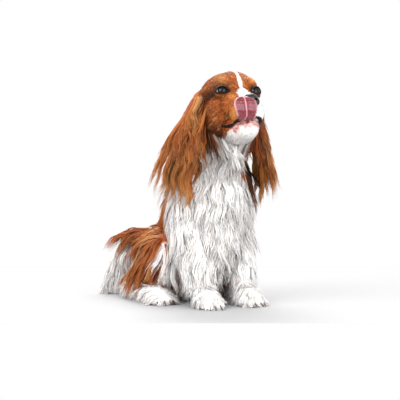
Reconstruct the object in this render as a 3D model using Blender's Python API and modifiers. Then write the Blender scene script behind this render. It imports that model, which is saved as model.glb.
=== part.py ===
"""A cavalier king charles spaniel, sitting, as a life-size still model.

Frame: +Z up, the dog faces -Y and its left side is +X. The origin lies on the flat under the
rump, on the floor. Metres.
"""

import math

import bmesh
import bpy
import numpy as np
from mathutils import Matrix, Vector
from mathutils.bvhtree import BVHTree

# Driving dimensions
GAP = 0.0005  # between nodes that meet face to face
SHEATH = 0.0004  # cleared round a node that another would cross
BODY_VOXEL = 0.0050
HEAD_VOXEL = 0.0024
BODY_SMOOTHING = 14
HEAD_SMOOTHING = 12
BODY_TRIANGLES = 1800
HEAD_TRIANGLES = 1900
HEAD_ORIGIN = Vector((0.0, -0.222, 0.386))  # middle of the skull
HEAD_PITCH = 14.0  # nose up
HEAD_YAW = -9.5  # towards the dog's own right
HEAD_SCALE = 1.06
EYE_RADIUS = 0.0112
EYE_CENTRE = Vector((0.0292, -0.0365, 0.0005))  # head frame, left eye
EYE_TURN = 20.0  # each eye looks outwards by this
LID_POINTS = 18
LID_HALF_WIDTH = 0.0106
LID_HALF_HEIGHT = 0.0086
LID_RADIUS = 0.0022
LIP_GROOVE = 0.0018
NOSTRIL = ((0.0064, -0.0965, -0.0285), (0.0028, 0.0045, 0.0024))  # centre and radii, head frame
NECK_TOP = (0, -0.200, 0.352)  # the head meets the neck here, and the neck the body
NECK_FOOT = (0, -0.165, 0.290)
NECK_LEAN = 34.0
TOE_LINES = (-0.011, 0.0, 0.011)  # between the toes, out from the middle of the paw
TOE_GROOVE = 0.0016
EAR_TRIANGLES = 240
NOSE_TRIANGLES = 300
TONGUE_TRIANGLES = 360
TAIL_TRIANGLES = 220

# Flesh and short coat of the body: centre, radii, tilt about X in degrees, mirrored or not
BODY_FORMS = {
    "pelvis": ((0, -0.024, 0.068), (0.060, 0.060, 0.074), -20, False),
    "rump": ((0, 0.002, 0.046), (0.050, 0.046, 0.054), 0, False),
    "loin": ((0, -0.062, 0.126), (0.055, 0.056, 0.082), 36, False),
    "ribcage": ((0, -0.112, 0.180), (0.066, 0.070, 0.104), 34, False),
    "forechest": ((0, -0.160, 0.202), (0.060, 0.060, 0.088), 5, False),
    "bib": ((0, -0.176, 0.170), (0.050, 0.040, 0.084), 0, False),
    "withers": ((0, -0.130, 0.256), (0.048, 0.050, 0.052), 40, False),
    "belly": ((0, -0.100, 0.085), (0.048, 0.060, 0.062), 0, False),
    "shoulder": ((0.046, -0.146, 0.196), (0.034, 0.046, 0.080), 12, True),
    "thigh": ((0.058, -0.058, 0.080), (0.036, 0.062, 0.060), -10, True),
    "knee": ((0.074, -0.096, 0.090), (0.025, 0.034, 0.042), 0, True),
    "hindpaw": ((0.088, -0.108, 0.015), (0.025, 0.036, 0.021), 0, True),
    "forepaw": ((0.044, -0.216, 0.016), (0.026, 0.036, 0.022), 0, True),
}
# Limbs and neck: points with radii, mirrored or not
BODY_CHAINS = {
    "neck": (((0, -0.140, 0.256, 0.056), (0, -0.176, 0.316, 0.051), (0, -0.205, 0.362, 0.046)), False),
    "foreleg": (
        ((0.050, -0.160, 0.150, 0.030), (0.047, -0.178, 0.090, 0.024), (0.045, -0.198, 0.030, 0.020)),
        True,
    ),
    "shank": (
        ((0.080, -0.090, 0.080, 0.026), (0.079, -0.024, 0.042, 0.024), (0.080, 0.004, 0.028, 0.021)),
        True,
    ),
    "hindfoot": (
        ((0.080, 0.004, 0.024, 0.022), (0.084, -0.060, 0.016, 0.020), (0.088, -0.100, 0.014, 0.020)),
        True,
    ),
}
# The head in its own frame: origin in the middle of the skull, nose towards -Y
HEAD_FORMS = {
    "cranium": ((0, 0.008, 0.004), (0.0510, 0.0510, 0.0430), 0, False),
    "forehead": ((0, -0.016, 0.006), (0.0440, 0.0340, 0.0370), 0, False),
    "brow": ((0.0200, -0.0270, 0.0130), (0.0200, 0.0190, 0.0180), 0, True),
    "face": ((0, -0.0280, -0.0260), (0.0380, 0.0330, 0.0400), 0, False),
    "cheek": ((0.0270, -0.0100, -0.0330), (0.0265, 0.0350, 0.0350), 0, True),
    "maxilla": ((0.0180, -0.0460, -0.0270), (0.0185, 0.0210, 0.0200), 0, True),
    "stop": ((0, -0.0440, -0.0080), (0.0160, 0.0180, 0.0140), 0, False),
    "bridge": ((0, -0.0600, -0.0200), (0.0165, 0.0320, 0.0150), 16, False),
    "muzzle": ((0, -0.0620, -0.0360), (0.0250, 0.0310, 0.0240), 5, False),
    "flew": ((0.0120, -0.0660, -0.0450), (0.0170, 0.0250, 0.0190), 0, True),
    "jaw": ((0, -0.0360, -0.0630), (0.0300, 0.0430, 0.0240), 3, False),
    "chin": ((0, -0.0640, -0.0710), (0.0200, 0.0230, 0.0190), 0, False),
    "throat": ((0, 0.0060, -0.0480), (0.0400, 0.0430, 0.0380), 0, False),
}
NOSE_FORMS = {
    "leather": ((0, -0.0890, -0.0275), (0.0140, 0.0080, 0.0115), 0, False),
    "tip": ((0, -0.0925, -0.0260), (0.0095, 0.0060, 0.0080), 0, False),
    "wing": ((0.0080, -0.0890, -0.0310), (0.0072, 0.0080, 0.0080), 0, True),
}
# Centre line of the tongue from its root to its tip, with half width and half thickness, head frame
TONGUE = (
    (-0.003, -0.046, -0.0590, 0.0120, 0.0030),
    (-0.006, -0.070, -0.0600, 0.0134, 0.0030),
    (-0.011, -0.088, -0.0605, 0.0154, 0.0030),
    (-0.0145, -0.0975, -0.0570, 0.0172, 0.0029),
    (-0.0160, -0.1020, -0.0490, 0.0204, 0.0028),
    (-0.0168, -0.1035, -0.0410, 0.0218, 0.0027),
    (-0.0170, -0.1030, -0.0340, 0.0200, 0.0025),
    (-0.0170, -0.1010, -0.0290, 0.0144, 0.0022),
    (-0.0170, -0.0990, -0.0262, 0.0070, 0.0017),
)
# The lip line of one side, from the middle of the lower lip back to the corner, head frame
LIP_LINE = (
    (0.0, -0.0900, -0.0600),
    (0.0080, -0.0890, -0.0600),
    (0.0170, -0.0830, -0.0610),
    (0.0240, -0.0700, -0.0630),
    (0.0300, -0.0520, -0.0630),
    (0.0340, -0.0360, -0.0600),
)
# The leather of one ear from its root down, row frame: out, back, up, half width, half thickness
EAR_LINE = (
    (0.044, -0.205, 0.400, 0.015, 0.0060),
    (0.059, -0.200, 0.388, 0.024, 0.0060),
    (0.070, -0.194, 0.362, 0.031, 0.0058),
    (0.079, -0.190, 0.335, 0.034, 0.0055),
    (0.086, -0.188, 0.310, 0.030, 0.0050),
    (0.090, -0.187, 0.294, 0.018, 0.0045),
)
EAR_CUP = 0.008  # the leather's edges turn in towards the head by this
EAR_TURN = 0.25  # the rear edge stands further out than the front one, as a share of the width
# The tail's bone and short coat: points with radii, row frame
TAIL_LINE = (
    (-0.003, 0.010, 0.078, 0.018),
    (-0.016, 0.036, 0.108, 0.013),
    (-0.034, 0.056, 0.118, 0.012),
    (-0.053, 0.072, 0.104, 0.011),
    (-0.068, 0.084, 0.072, 0.010),
    (-0.078, 0.094, 0.042, 0.009),
    (-0.084, 0.102, 0.022, 0.008),
)
# Locks of the long coat. spacing: between roots. long: least and greatest length. wide, thick: of
# one lock. sag: how soon it turns down. wave: sideways swing. lift: height of the tip over the skin.
COATS = {
    "chest": dict(
        spacing=0.028, long=(0.075, 0.105), wide=0.028, thick=0.0065, sag=0.35,
        wave=0.0060, lift=0.012,
    ),
    "neck": dict(
        spacing=0.040, long=(0.050, 0.065), wide=0.028, thick=0.0060, sag=0.30,
        wave=0.0050, lift=0.010,
    ),
    "torso": dict(
        spacing=0.046, long=(0.065, 0.085), wide=0.034, thick=0.0060, sag=0.20,
        wave=0.0040, lift=0.010,
    ),
    "ear": dict(
        spacing=0.0212, long=(0.090, 0.130), wide=0.023, thick=0.0065, sag=0.30,
        wave=0.0070, lift=0.013,
    ),
    "foreleg": dict(
        spacing=0.026, long=(0.045, 0.060), wide=0.020, thick=0.0055, sag=0.30,
        wave=0.0030, lift=0.009,
    ),
    "hindleg": dict(
        spacing=0.040, long=(0.055, 0.080), wide=0.029, thick=0.0060, sag=0.30,
        wave=0.0045, lift=0.010,
    ),
    "tail": dict(
        spacing=0.021, long=(0.060, 0.090), wide=0.020, thick=0.0060, sag=0.45,
        wave=0.0045, lift=0.010,
    ),
}
LOCK_STEPS = 4
ROOT_SINK = 0.006
FLOOR_CLEAR = 0.0045
FLOOR_DRAG = 0.35  # what is left of a lock's step once it lies on the floor
FLOOR_TOUCH = 0.002  # a lock's corners below this are pressed flat above the floor
FLOOR_SOFTNESS = 0.004
KEEP_CLEAR = 0.0035  # between a lock's middle line and another node
FUSE_ATTEMPTS = 8
BEND_ATTEMPTS = 5  # a lock that would cross another node is bent further out and made smaller
BEND_STEP = 0.003
MEETING_REACHES = (1e-7, 1e-5, 3e-5)  # points this near count as one where a surface is tested
SHORTEN_STEP = 0.12

CHESTNUT = (0.36, 0.13, 0.045)
BLACK = (0.012, 0.011, 0.012)


def clear_scene():
    """Start from an empty scene."""
    for obj in list(bpy.data.objects):
        bpy.data.objects.remove(obj, do_unlink=True)


def head_matrix():
    """The head's own frame in the row frame."""
    turn = Matrix.Rotation(math.radians(HEAD_YAW), 4, "Z")
    nod = Matrix.Rotation(math.radians(-HEAD_PITCH), 4, "X")
    return Matrix.Translation(HEAD_ORIGIN) @ turn @ nod @ Matrix.Scale(HEAD_SCALE, 4)


def material(name, colour, roughness):
    """A plain material of one colour."""
    made = bpy.data.materials.new(name)
    made.use_nodes = True
    shader = made.node_tree.nodes["Principled BSDF"]
    shader.inputs["Base Color"].default_value = (*colour, 1.0)
    shader.inputs["Roughness"].default_value = roughness
    shader.inputs["Metallic"].default_value = 0.0
    return made


def sides(mirrored):
    """+1 and, on a mirrored form, -1."""
    return (1, -1) if mirrored else (1,)


def add_ball(bm, centre, radii, tilt, frame, segments=20):
    """One ellipsoid of flesh, tilted about its own X axis."""
    place = frame @ Matrix.Translation(centre) @ Matrix.Rotation(math.radians(tilt), 4, "X")
    stretch = Matrix.Diagonal((*radii, 1.0))
    bmesh.ops.create_uvsphere(
        bm, u_segments=segments, v_segments=segments // 2, radius=1.0, matrix=place @ stretch
    )


def add_forms(bm, forms, frame):
    """Every ellipsoid of a table, with its mirror image where it has one."""
    for centre, radii, tilt, mirrored in forms.values():
        for side in sides(mirrored):
            add_ball(bm, (side * centre[0], centre[1], centre[2]), radii, tilt, frame)


def add_chains(bm, chains, frame):
    """Every limb of a table, as beads set close along its line."""
    for points, mirrored in chains.values():
        for side in sides(mirrored):
            for start, end in zip(points, points[1:]):
                a, b = Vector(start[:3]), Vector(end[:3])
                count = max(2, math.ceil((b - a).length / (0.3 * min(start[3], end[3]))))
                for i in range(count + 1):
                    share = i / count
                    middle = a.lerp(b, share)
                    radius = start[3] + (end[3] - start[3]) * share
                    add_ball(bm, (side * middle.x, middle.y, middle.z), (radius,) * 3, 0, frame, 14)


def object_of(bm, name, collection):
    """A new object that holds this mesh."""
    mesh = bpy.data.meshes.new(name)
    bm.to_mesh(mesh)
    bm.free()
    obj = bpy.data.objects.new(name, mesh)
    collection.objects.link(obj)
    return obj


def apply_modifiers(obj):
    """The object's mesh becomes the one that its modifiers give."""
    graph = bpy.context.evaluated_depsgraph_get()
    mesh = bpy.data.meshes.new_from_object(obj.evaluated_get(graph))
    old = obj.data
    obj.modifiers.clear()
    obj.data = mesh
    mesh.name = obj.name
    bpy.data.meshes.remove(old)


def soften(obj, voxel, smoothing, triangles):
    """Melts overlapping forms into one skin, then thins it to about this many triangles."""
    remesh = obj.modifiers.new("one_skin", "REMESH")
    remesh.mode = "VOXEL"
    remesh.voxel_size = voxel
    smooth = obj.modifiers.new("soft", "SMOOTH")
    smooth.factor = 0.5
    smooth.iterations = smoothing
    apply_modifiers(obj)
    keep_largest(obj)
    faces = sum(len(polygon.vertices) - 2 for polygon in obj.data.polygons)
    thin = obj.modifiers.new("thin", "DECIMATE")
    thin.ratio = min(1.0, triangles / faces)
    apply_modifiers(obj)


def in_triangles(obj):
    """The object's mesh in triangles, by whichever way leaves every edge between two of them."""
    for method in ("BEAUTY", "EAR_CLIP"):
        bm = bmesh.new()
        bm.from_mesh(obj.data)
        # A point that only splits an edge would leave slivers on both sides of it
        spare = [vert for vert in bm.verts if len(vert.link_edges) == 2]
        bmesh.ops.dissolve_verts(bm, verts=spare)
        bmesh.ops.triangulate(bm, faces=bm.faces, ngon_method=method)
        if all(len(edge.link_faces) == 2 for edge in bm.edges):
            break
    return bm


def is_closed(obj):
    """Whether every edge lies between two faces, also once its closest points are one."""
    for reach in MEETING_REACHES:
        bm = bmesh.new()
        bm.from_mesh(obj.data)
        bmesh.ops.remove_doubles(bm, verts=bm.verts, dist=reach)
        closed = all(len(edge.link_faces) == 2 for edge in bm.edges)
        bm.free()
        if not closed:
            return False
    return True


def keep_largest(obj):
    """Drops every loose surface but the largest."""
    bm = in_triangles(obj)
    left, islands = set(bm.verts), []
    while left:
        island, edge = set(), [left.pop()]
        while edge:
            vert = edge.pop()
            island.add(vert)
            for link in vert.link_edges:
                other = link.other_vert(vert)
                if other in left:
                    left.discard(other)
                    edge.append(other)
        islands.append(island)
    islands.sort(key=len)
    loose = [vert for island in islands[:-1] for vert in island]
    if loose:
        bmesh.ops.delete(bm, geom=loose, context="VERTS")
    bm.to_mesh(obj.data)
    bm.free()


def boolean(obj, other, operation, solver="MANIFOLD"):
    """Cuts, joins or intersects obj with another object or a collection."""
    step = obj.modifiers.new(operation.lower(), "BOOLEAN")
    step.operation = operation
    step.solver = solver
    if isinstance(other, bpy.types.Collection):
        step.operand_type = "COLLECTION"
        step.collection = other
    else:
        step.object = other
    apply_modifiers(obj)


def remove(obj):
    """Takes an object and its mesh out of the file."""
    mesh = obj.data
    bpy.data.objects.remove(obj, do_unlink=True)
    bpy.data.meshes.remove(mesh)


def slab(low, high, turn, centre, collection):
    """A box between two corners, turned by a matrix about a centre, as a cutter."""
    bm = bmesh.new()
    size = [b - a for a, b in zip(low, high)]
    middle = [(a + b) / 2 for a, b in zip(low, high)]
    bmesh.ops.create_cube(bm, size=1.0, matrix=Matrix.Translation(middle) @ Matrix.Diagonal((*size, 1.0)))
    bmesh.ops.transform(bm, matrix=Matrix.Translation(centre) @ turn, verts=bm.verts)
    obj = object_of(bm, "cutter", collection)
    obj.hide_render = True
    obj.display_type = "WIRE"
    return obj


def copy_of(obj, name):
    """A copy of an object and its mesh."""
    twin = obj.copy()
    twin.data = obj.data.copy()
    twin.name = name
    obj.users_collection[0].objects.link(twin)
    return twin


def swollen(obj):
    """A copy whose every face stands out by a little under the gap."""
    twin = copy_of(obj, "sheath")
    bm = bmesh.new()
    bm.from_mesh(twin.data)
    bm.normal_update()
    moves = [vert.normal * min(vert.calc_shell_factor(), 2.0) * SHEATH for vert in bm.verts]
    for vert, move in zip(bm.verts, moves):
        vert.co += move
    bm.to_mesh(twin.data)
    bm.free()
    return twin


def take(whole, cutter_low, cutter_high, turn, centre, name, tools):
    """Parts a piece from the whole with a thin cut round a box, and names it."""
    inner = slab(cutter_low, cutter_high, turn, centre, tools)
    piece = copy_of(whole, name)
    boolean(piece, inner, "INTERSECT")
    keep_largest(piece)
    grown_low = [v - GAP for v in cutter_low]
    grown_high = [v + GAP for v in cutter_high]
    outer = slab(grown_low, grown_high, turn, centre, tools)
    boolean(whole, outer, "DIFFERENCE")
    keep_largest(whole)
    remove(inner)
    remove(outer)
    return piece


def on_floor(obj, tools):
    """Cuts off what would reach below the floor."""
    if min(vert.co.z for vert in obj.data.vertices) > -1e-6:
        return
    level = slab((-1, -1, -1), (1, 1, 0), Matrix.Identity(4), (0, 0, 0), tools)
    boolean(obj, level, "DIFFERENCE")
    keep_largest(obj)
    remove(level)


def body_nodes(parts, tools):
    """Neck, torso, chest and legs, parted from one skin."""
    bm = bmesh.new()
    frame = Matrix.Identity(4)
    add_forms(bm, BODY_FORMS, frame)
    add_chains(bm, BODY_CHAINS, frame)
    add_forms(bm, {key: HEAD_FORMS[key] for key in ("cranium", "cheek", "throat")}, head_matrix())
    whole = object_of(bm, "torso", parts)
    soften(whole, BODY_VOXEL, BODY_SMOOTHING, BODY_TRIANGLES)
    on_floor(whole, tools)
    still = Matrix.Identity(4)
    nodes = {}
    skull_cut = slab((-1, -1, 0), (1, 1, 1), neck_turn(), NECK_TOP, tools)
    boolean(whole, skull_cut, "DIFFERENCE")
    remove(skull_cut)
    nodes["neck"] = take(whole, (-1, -1, 0), (1, 1, 1), neck_turn(), NECK_FOOT, "neck", tools)
    for side, word in ((1, "left"), (-1, "right")):
        low, high = sorted((side * 0.016, side * 0.2))
        nodes[f"foreleg_{word}"] = take(
            whole, (low, -0.30, -0.02), (high, -0.140, 0.128), still, (0, 0, 0), f"foreleg_{word}", tools
        )
        low, high = sorted((side * 0.046, side * 0.2))
        nodes[f"hindleg_{word}"] = take(
            whole, (low, -0.1395, -0.02), (high, 0.090, 0.165), still, (0, 0, 0), f"hindleg_{word}", tools
        )
    nodes["chest"] = take(whole, (-1, -1, -1), (1, -0.150, 1), still, (0, 0, 0), "chest", tools)
    nodes["torso"] = whole
    return nodes


def neck_turn():
    """The neck's cuts lean back with it."""
    return Matrix.Rotation(math.radians(NECK_LEAN), 4, "X")


def beads(name, forms, chains, frame, voxel, smoothing, triangles, parts):
    """One small soft piece melted from its forms."""
    bm = bmesh.new()
    add_forms(bm, forms, frame)
    add_chains(bm, chains, frame)
    obj = object_of(bm, name, parts)
    soften(obj, voxel, smoothing, triangles)
    return obj


def carve(obj, other):
    """Cuts obj clear of another node where they would touch."""
    fat = swollen(other)
    if tree_of(fat).overlap(tree_of(obj)):
        boolean(obj, fat, "DIFFERENCE")
        keep_largest(obj)
    remove(fat)


def head_node(parts, tools):
    """Skull, muzzle and jaw in one."""
    bm = bmesh.new()
    add_forms(bm, HEAD_FORMS, head_matrix())
    add_chains(bm, {"neck": BODY_CHAINS["neck"]}, Matrix.Identity(4))
    head = object_of(bm, "head", parts)
    soften(head, HEAD_VOXEL, HEAD_SMOOTHING, HEAD_TRIANGLES)
    below = slab((-1, -1, -1), (1, 1, GAP), neck_turn(), NECK_TOP, tools)
    boolean(head, below, "DIFFERENCE")
    keep_largest(head)
    remove(below)
    return head


def nostrils(nose, tools):
    """The two openings in the nose leather."""
    (x, y, z), radii = NOSTRIL
    for side in (1, -1):
        bm = bmesh.new()
        add_ball(bm, (side * x, y, z), radii, 0, head_matrix(), 8)
        hole = object_of(bm, "nostril", tools)
        boolean(nose, hole, "DIFFERENCE")
        remove(hole)
    keep_largest(nose)


def toes(leg, paw, side, tools):
    """The grooves between the toes of one paw."""
    (x, y, _), (_, length, height), _, _ = BODY_FORMS[paw]
    for out in TOE_LINES:
        bends = (
            (0.9 * out, -length, 0.3 * height),
            (0.8 * out, -0.75 * length, 1.2 * height),
            (0.5 * out, 0, 2 * height),
        )
        line = [Vector((side * x + across, y + ahead, up)) for across, ahead, up in bends]
        groove = tube("toe_line", onto(line, leg), TOE_GROOVE, False, tools, 0)
        boolean(leg, groove, "DIFFERENCE")
        remove(groove)
    keep_largest(leg)


def eye_node(side, word, parts):
    """One eyeball."""
    bm = bmesh.new()
    centre = (side * EYE_CENTRE.x, EYE_CENTRE.y, EYE_CENTRE.z)
    turn = Matrix.Rotation(math.radians(90), 4, "X")
    place = head_matrix() @ Matrix.Translation(centre) @ turn
    bmesh.ops.create_uvsphere(bm, u_segments=14, v_segments=8, radius=EYE_RADIUS, matrix=place)
    return object_of(bm, f"eye_{word}", parts)


def lid_pieces(side, collection):
    """Upper and lower lid of one eye as an almond ring round the ball."""
    turn = Matrix.Rotation(math.radians(side * EYE_TURN), 4, "Z")
    centre = Vector((side * EYE_CENTRE.x, EYE_CENTRE.y, EYE_CENTRE.z))
    points = []
    for i in range(LID_POINTS):
        angle = math.tau * i / LID_POINTS
        across = LID_HALF_WIDTH * math.cos(angle)
        up = (LID_HALF_HEIGHT - 0.15 * abs(across)) * math.sin(angle)
        ahead = math.sqrt((EYE_RADIUS + LID_RADIUS * 0.5) ** 2 - across**2 - up**2)
        points.append(centre + turn @ Vector((across, -ahead, up)))
    return tube("lid", [head_matrix() @ p for p in points], LID_RADIUS * HEAD_SCALE, True, collection)


def tube(name, points, radius, closed, collection, roundness=1):
    """A bar along points, as a mesh: four-sided, with two more sides for each step of roundness."""
    curve = bpy.data.curves.new(name, "CURVE")
    curve.dimensions = "3D"
    curve.bevel_depth = radius
    curve.bevel_resolution = roundness
    curve.use_fill_caps = not closed
    spline = curve.splines.new("POLY")
    spline.points.add(len(points) - 1)
    for target, point in zip(spline.points, points):
        target.co = (*point, 1.0)
    spline.use_cyclic_u = closed
    bar = bpy.data.objects.new(name, curve)
    bpy.context.scene.collection.objects.link(bar)
    graph = bpy.context.evaluated_depsgraph_get()
    mesh = bpy.data.meshes.new_from_object(bar.evaluated_get(graph))
    bm = bmesh.new()
    bm.from_mesh(mesh)
    bmesh.ops.remove_doubles(bm, verts=bm.verts, dist=1e-5)
    bmesh.ops.recalc_face_normals(bm, faces=bm.faces)
    bm.to_mesh(mesh)
    bm.free()
    obj = bpy.data.objects.new(name, mesh)
    collection.objects.link(obj)
    bpy.data.objects.remove(bar)
    bpy.data.curves.remove(curve)
    return obj


def tongue_node(parts):
    """The tongue, out of the mouth and curled up over the lip to the nose."""
    bm = bmesh.new()
    frame = head_matrix()
    for start, end in zip(TONGUE, TONGUE[1:]):
        for i in range(5):
            x, y, z, wide, thick = (a + (b - a) * i / 5 for a, b in zip(start, end))
            lean = math.degrees(math.atan2(end[1] - start[1], end[2] - start[2]))
            place = frame @ Matrix.Translation((x, y, z)) @ Matrix.Rotation(math.radians(-lean), 4, "X")
            stretch = Matrix.Diagonal((wide, thick, 0.0045, 1.0))
            bmesh.ops.create_uvsphere(bm, u_segments=24, v_segments=10, radius=1.0, matrix=place @ stretch)
    obj = object_of(bm, "tongue", parts)
    soften(obj, 0.0012, 4, TONGUE_TRIANGLES)
    return obj


def ear_node(side, word, parts):
    """The leather of one hanging ear, hollow on the side of the head."""
    bm = bmesh.new()
    for start, end in zip(EAR_LINE, EAR_LINE[1:]):
        for i in range(3):
            x, y, z, wide, thick = (a + (b - a) * i / 3 for a, b in zip(start, end))
            for across in (-1.0, -0.5, 0.0, 0.5, 1.0):
                stretch = Matrix.Diagonal((thick, 0.36 * wide, 0.009, 1.0))
                out = x - EAR_CUP * across**2 + EAR_TURN * across * wide
                place = Matrix.Translation((side * out, y + 0.72 * across * wide, z))
                bmesh.ops.create_uvsphere(bm, u_segments=12, v_segments=8, radius=1.0, matrix=place @ stretch)
    obj = object_of(bm, f"ear_{word}", parts)
    soften(obj, 0.0022, 5, EAR_TRIANGLES)
    return obj


def tree_of(obj):
    """For the nearest place on an object's surface."""
    bm = bmesh.new()
    bm.from_mesh(obj.data)
    tree = BVHTree.FromBMesh(bm)
    bm.free()
    return tree


def onto(points, obj):
    """Each point moved to the nearest place on an object."""
    tree = tree_of(obj)
    return [tree.find_nearest(point)[0] for point in points]


def roots_on(obj, wanted, spacing, draw):
    """Places on the surface where wanted(place, normal) holds, spread evenly."""
    faces = list(obj.data.polygons)
    found = []
    for index in draw.permutation(len(faces)):
        place, normal = faces[index].center.copy(), faces[index].normal.copy()
        if wanted(place, normal) and all((place - other).length > spacing for other, _ in found):
            found.append((place, normal))
    return found


def inside(tree, place):
    """Whether a place is inside a closed surface: a ray up from it leaves an odd number of times."""
    up = Vector((0.01, 0.02, 1.0)).normalized()
    hits = 0
    start = place
    while True:
        hit = tree.ray_cast(start, up)[0]
        if hit is None:
            return hits % 2 == 1
        hits += 1
        start = hit + up * 1e-5


def pushed_out(tree, place, least):
    """The place, or the nearest one that stands this far off the surface."""
    close, out, _, distance = tree.find_nearest(place)
    within = (place - close).dot(out) < 0 and inside(tree, place)
    if distance >= least and not within:
        return place
    if within or distance < 1e-6:
        return close + out * least
    return close + (place - close) * (least / distance)


def drape(root, normal, flow, length, phase, coat, own, others, clear):
    """The middle line of one lock: it sets out along flow, sags, and lies over what it meets."""
    step = length / LOCK_STEPS
    heading = (flow - normal * flow.dot(normal)).normalized()
    swing = normal.cross(heading).normalized()
    place = root
    points = [root - normal * ROOT_SINK, root]
    for i in range(LOCK_STEPS):
        heading = (heading + Vector((0, 0, -coat["sag"]))).normalized()
        turn = math.cos(phase + 0.6 * math.tau * i / LOCK_STEPS) * coat["wave"]
        place = place + heading * step + swing * turn
        lift = coat["lift"] * (i + 1) / LOCK_STEPS
        for tree, least in [(own, lift)] + [(tree, clear) for tree in others]:
            place = pushed_out(tree, place, least)
        if place.z < FLOOR_CLEAR:
            place.z = FLOOR_CLEAR
            step *= FLOOR_DRAG
        heading = (place - points[-1]).normalized()
        points.append(place)
    return points


def lock_mesh(points, normal, wide, thick, grow=0.0):
    """A flat tapered lock along its middle line: a ridge, two edges and a pointed tip."""
    bm = bmesh.new()
    rings, last = [], len(points) - 1
    for i, point in enumerate(points[:-1]):
        ahead = (points[i + 1] - points[max(i - 1, 0)]).normalized()
        across = ahead.cross(normal).normalized()
        upward = across.cross(ahead).normalized()
        swell = math.sin(math.pi * (0.30 + 0.58 * i / last)) ** 0.8
        half, ridge = 0.5 * wide * swell + grow, thick * swell + grow
        corners = (across * half - upward * grow, upward * ridge, -across * half - upward * grow)
        rings.append([bm.verts.new(point + corner) for corner in corners])
    bm.faces.new(reversed(rings[0]))
    for low, high in zip(rings, rings[1:]):
        for k in range(3):
            bm.faces.new((low[k], low[(k + 1) % 3], high[(k + 1) % 3], high[k]))
    tip = bm.verts.new(points[-1])
    for k in range(3):
        bm.faces.new((rings[-1][k], rings[-1][(k + 1) % 3], tip))
    for vert in bm.verts:
        if vert.co.z < FLOOR_TOUCH:
            vert.co.z = FLOOR_TOUCH * math.exp((vert.co.z - FLOOR_TOUCH) / FLOOR_SOFTNESS)
    bmesh.ops.triangulate(bm, faces=bm.faces)
    bmesh.ops.recalc_face_normals(bm, faces=bm.faces)
    return bm


def crosses(bm, trees):
    """Whether a mesh meets any of the other nodes. The mesh is freed."""
    tree = BVHTree.FromBMesh(bm)
    bm.free()
    return any(tree.overlap(other) for other in trees)


def fuse(obj, pieces):
    """Joins every object of a collection to obj, then removes them and the collection."""
    boolean(obj, pieces, "UNION")
    for piece in list(pieces.objects):
        remove(piece)
    bpy.data.collections.remove(pieces)
    keep_largest(obj)


def near(a, b, reach):
    """Whether two objects' boxes come this near."""
    boxes = []
    for obj in (a, b):
        places = np.array([vert.co for vert in obj.data.vertices])
        boxes.append((places.min(axis=0) - reach, places.max(axis=0) + reach))
    return bool(np.all(boxes[0][0] < boxes[1][1]) and np.all(boxes[1][0] < boxes[0][1]))


def grow_coat(obj, coat, wanted, flow, others, seed):
    """Sets the locks of one node on its skin, each bent clear of the other nodes, and fuses them."""
    own = tree_of(obj)
    trees = [tree_of(other) for other in others]
    bare = obj.data.copy()
    for attempt in range(FUSE_ATTEMPTS):
        obj.data = bare.copy()
        fuse(obj, locks(obj, coat, wanted, flow, own, trees, np.random.default_rng(seed + 100 * attempt)))
        if is_closed(obj):
            break
    bpy.data.meshes.remove(bare)


def locks(obj, coat, wanted, flow, own, trees, draw):
    """The locks of one node, as separate meshes in a collection."""
    pieces = bpy.data.collections.new("locks")
    bpy.context.scene.collection.children.link(pieces)
    for root, normal in roots_on(obj, wanted, coat["spacing"], draw):
        length = draw.uniform(*coat["long"])
        wide = coat["wide"] * draw.uniform(0.85, 1.15)
        phase = draw.uniform(0, math.tau)
        for attempt in range(BEND_ATTEMPTS):
            clear = KEEP_CLEAR + BEND_STEP * attempt
            share = 1 - SHORTEN_STEP * attempt
            shape = drape(root, normal, flow(root, normal), length * share, phase, coat, own, trees, clear)
            sizes = (wide * share, coat["thick"])
            if not crosses(lock_mesh(shape, normal, *sizes, SHEATH), trees):
                object_of(lock_mesh(shape, normal, *sizes), "lock", pieces)
                break
    return pieces


def coats(nodes):
    """The long coat of every node that has one, each laid over the ones before it."""
    down = Vector((0, 0, -1))
    back = Vector((0, 0.5, -1))

    def grow(name, kind, wanted, flow, seed):
        node = nodes[name]
        others = [other for other in nodes.values() if other != node and near(node, other, 0.12)]
        grow_coat(node, COATS[kind], wanted, flow, others, seed)

    grow("neck", "neck", lambda p, n: abs(n.z) < 0.7, lambda p, n: down, 12)
    grow("torso", "torso", lambda p, n: p.z > 0.06 and n.z > -0.3, lambda p, n: back, 13)
    for side, word in ((1, "left"), (-1, "right")):
        grow(
            f"hindleg_{word}", "hindleg", lambda p, n: n.x * side > 0.0 and p.z > 0.04,
            lambda p, n: back, 20 + side,
        )
        grow(
            f"foreleg_{word}", "foreleg",
            lambda p, n: 0.03 < p.z < 0.125 and n.y > -0.3 and n.x * side > -0.4,
            lambda p, n: back, 17 + side,
        )
    grow(
        "chest", "chest", lambda p, n: n.y < 0.0 and p.z < 0.285 and n.z > -0.7,
        lambda p, n: down + Vector((3.0 * p.x, 0, 0)), 11,
    )
    for side, word in ((1, "left"), (-1, "right")):
        grow(
            f"ear_{word}", "ear", lambda p, n: n.x * side > 0.2 and p.z < 0.395,
            lambda p, n: down + Vector((0.42 * side, 5.0 * (p.y + 0.190), 0)), 14 + side,
        )
    grow(
        "tail", "tail", lambda p, n: p.y > 0.03 and n.z < 0.9,
        lambda p, n: down + Vector((-0.4, 0.3, 0)), 44,
    )


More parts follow.
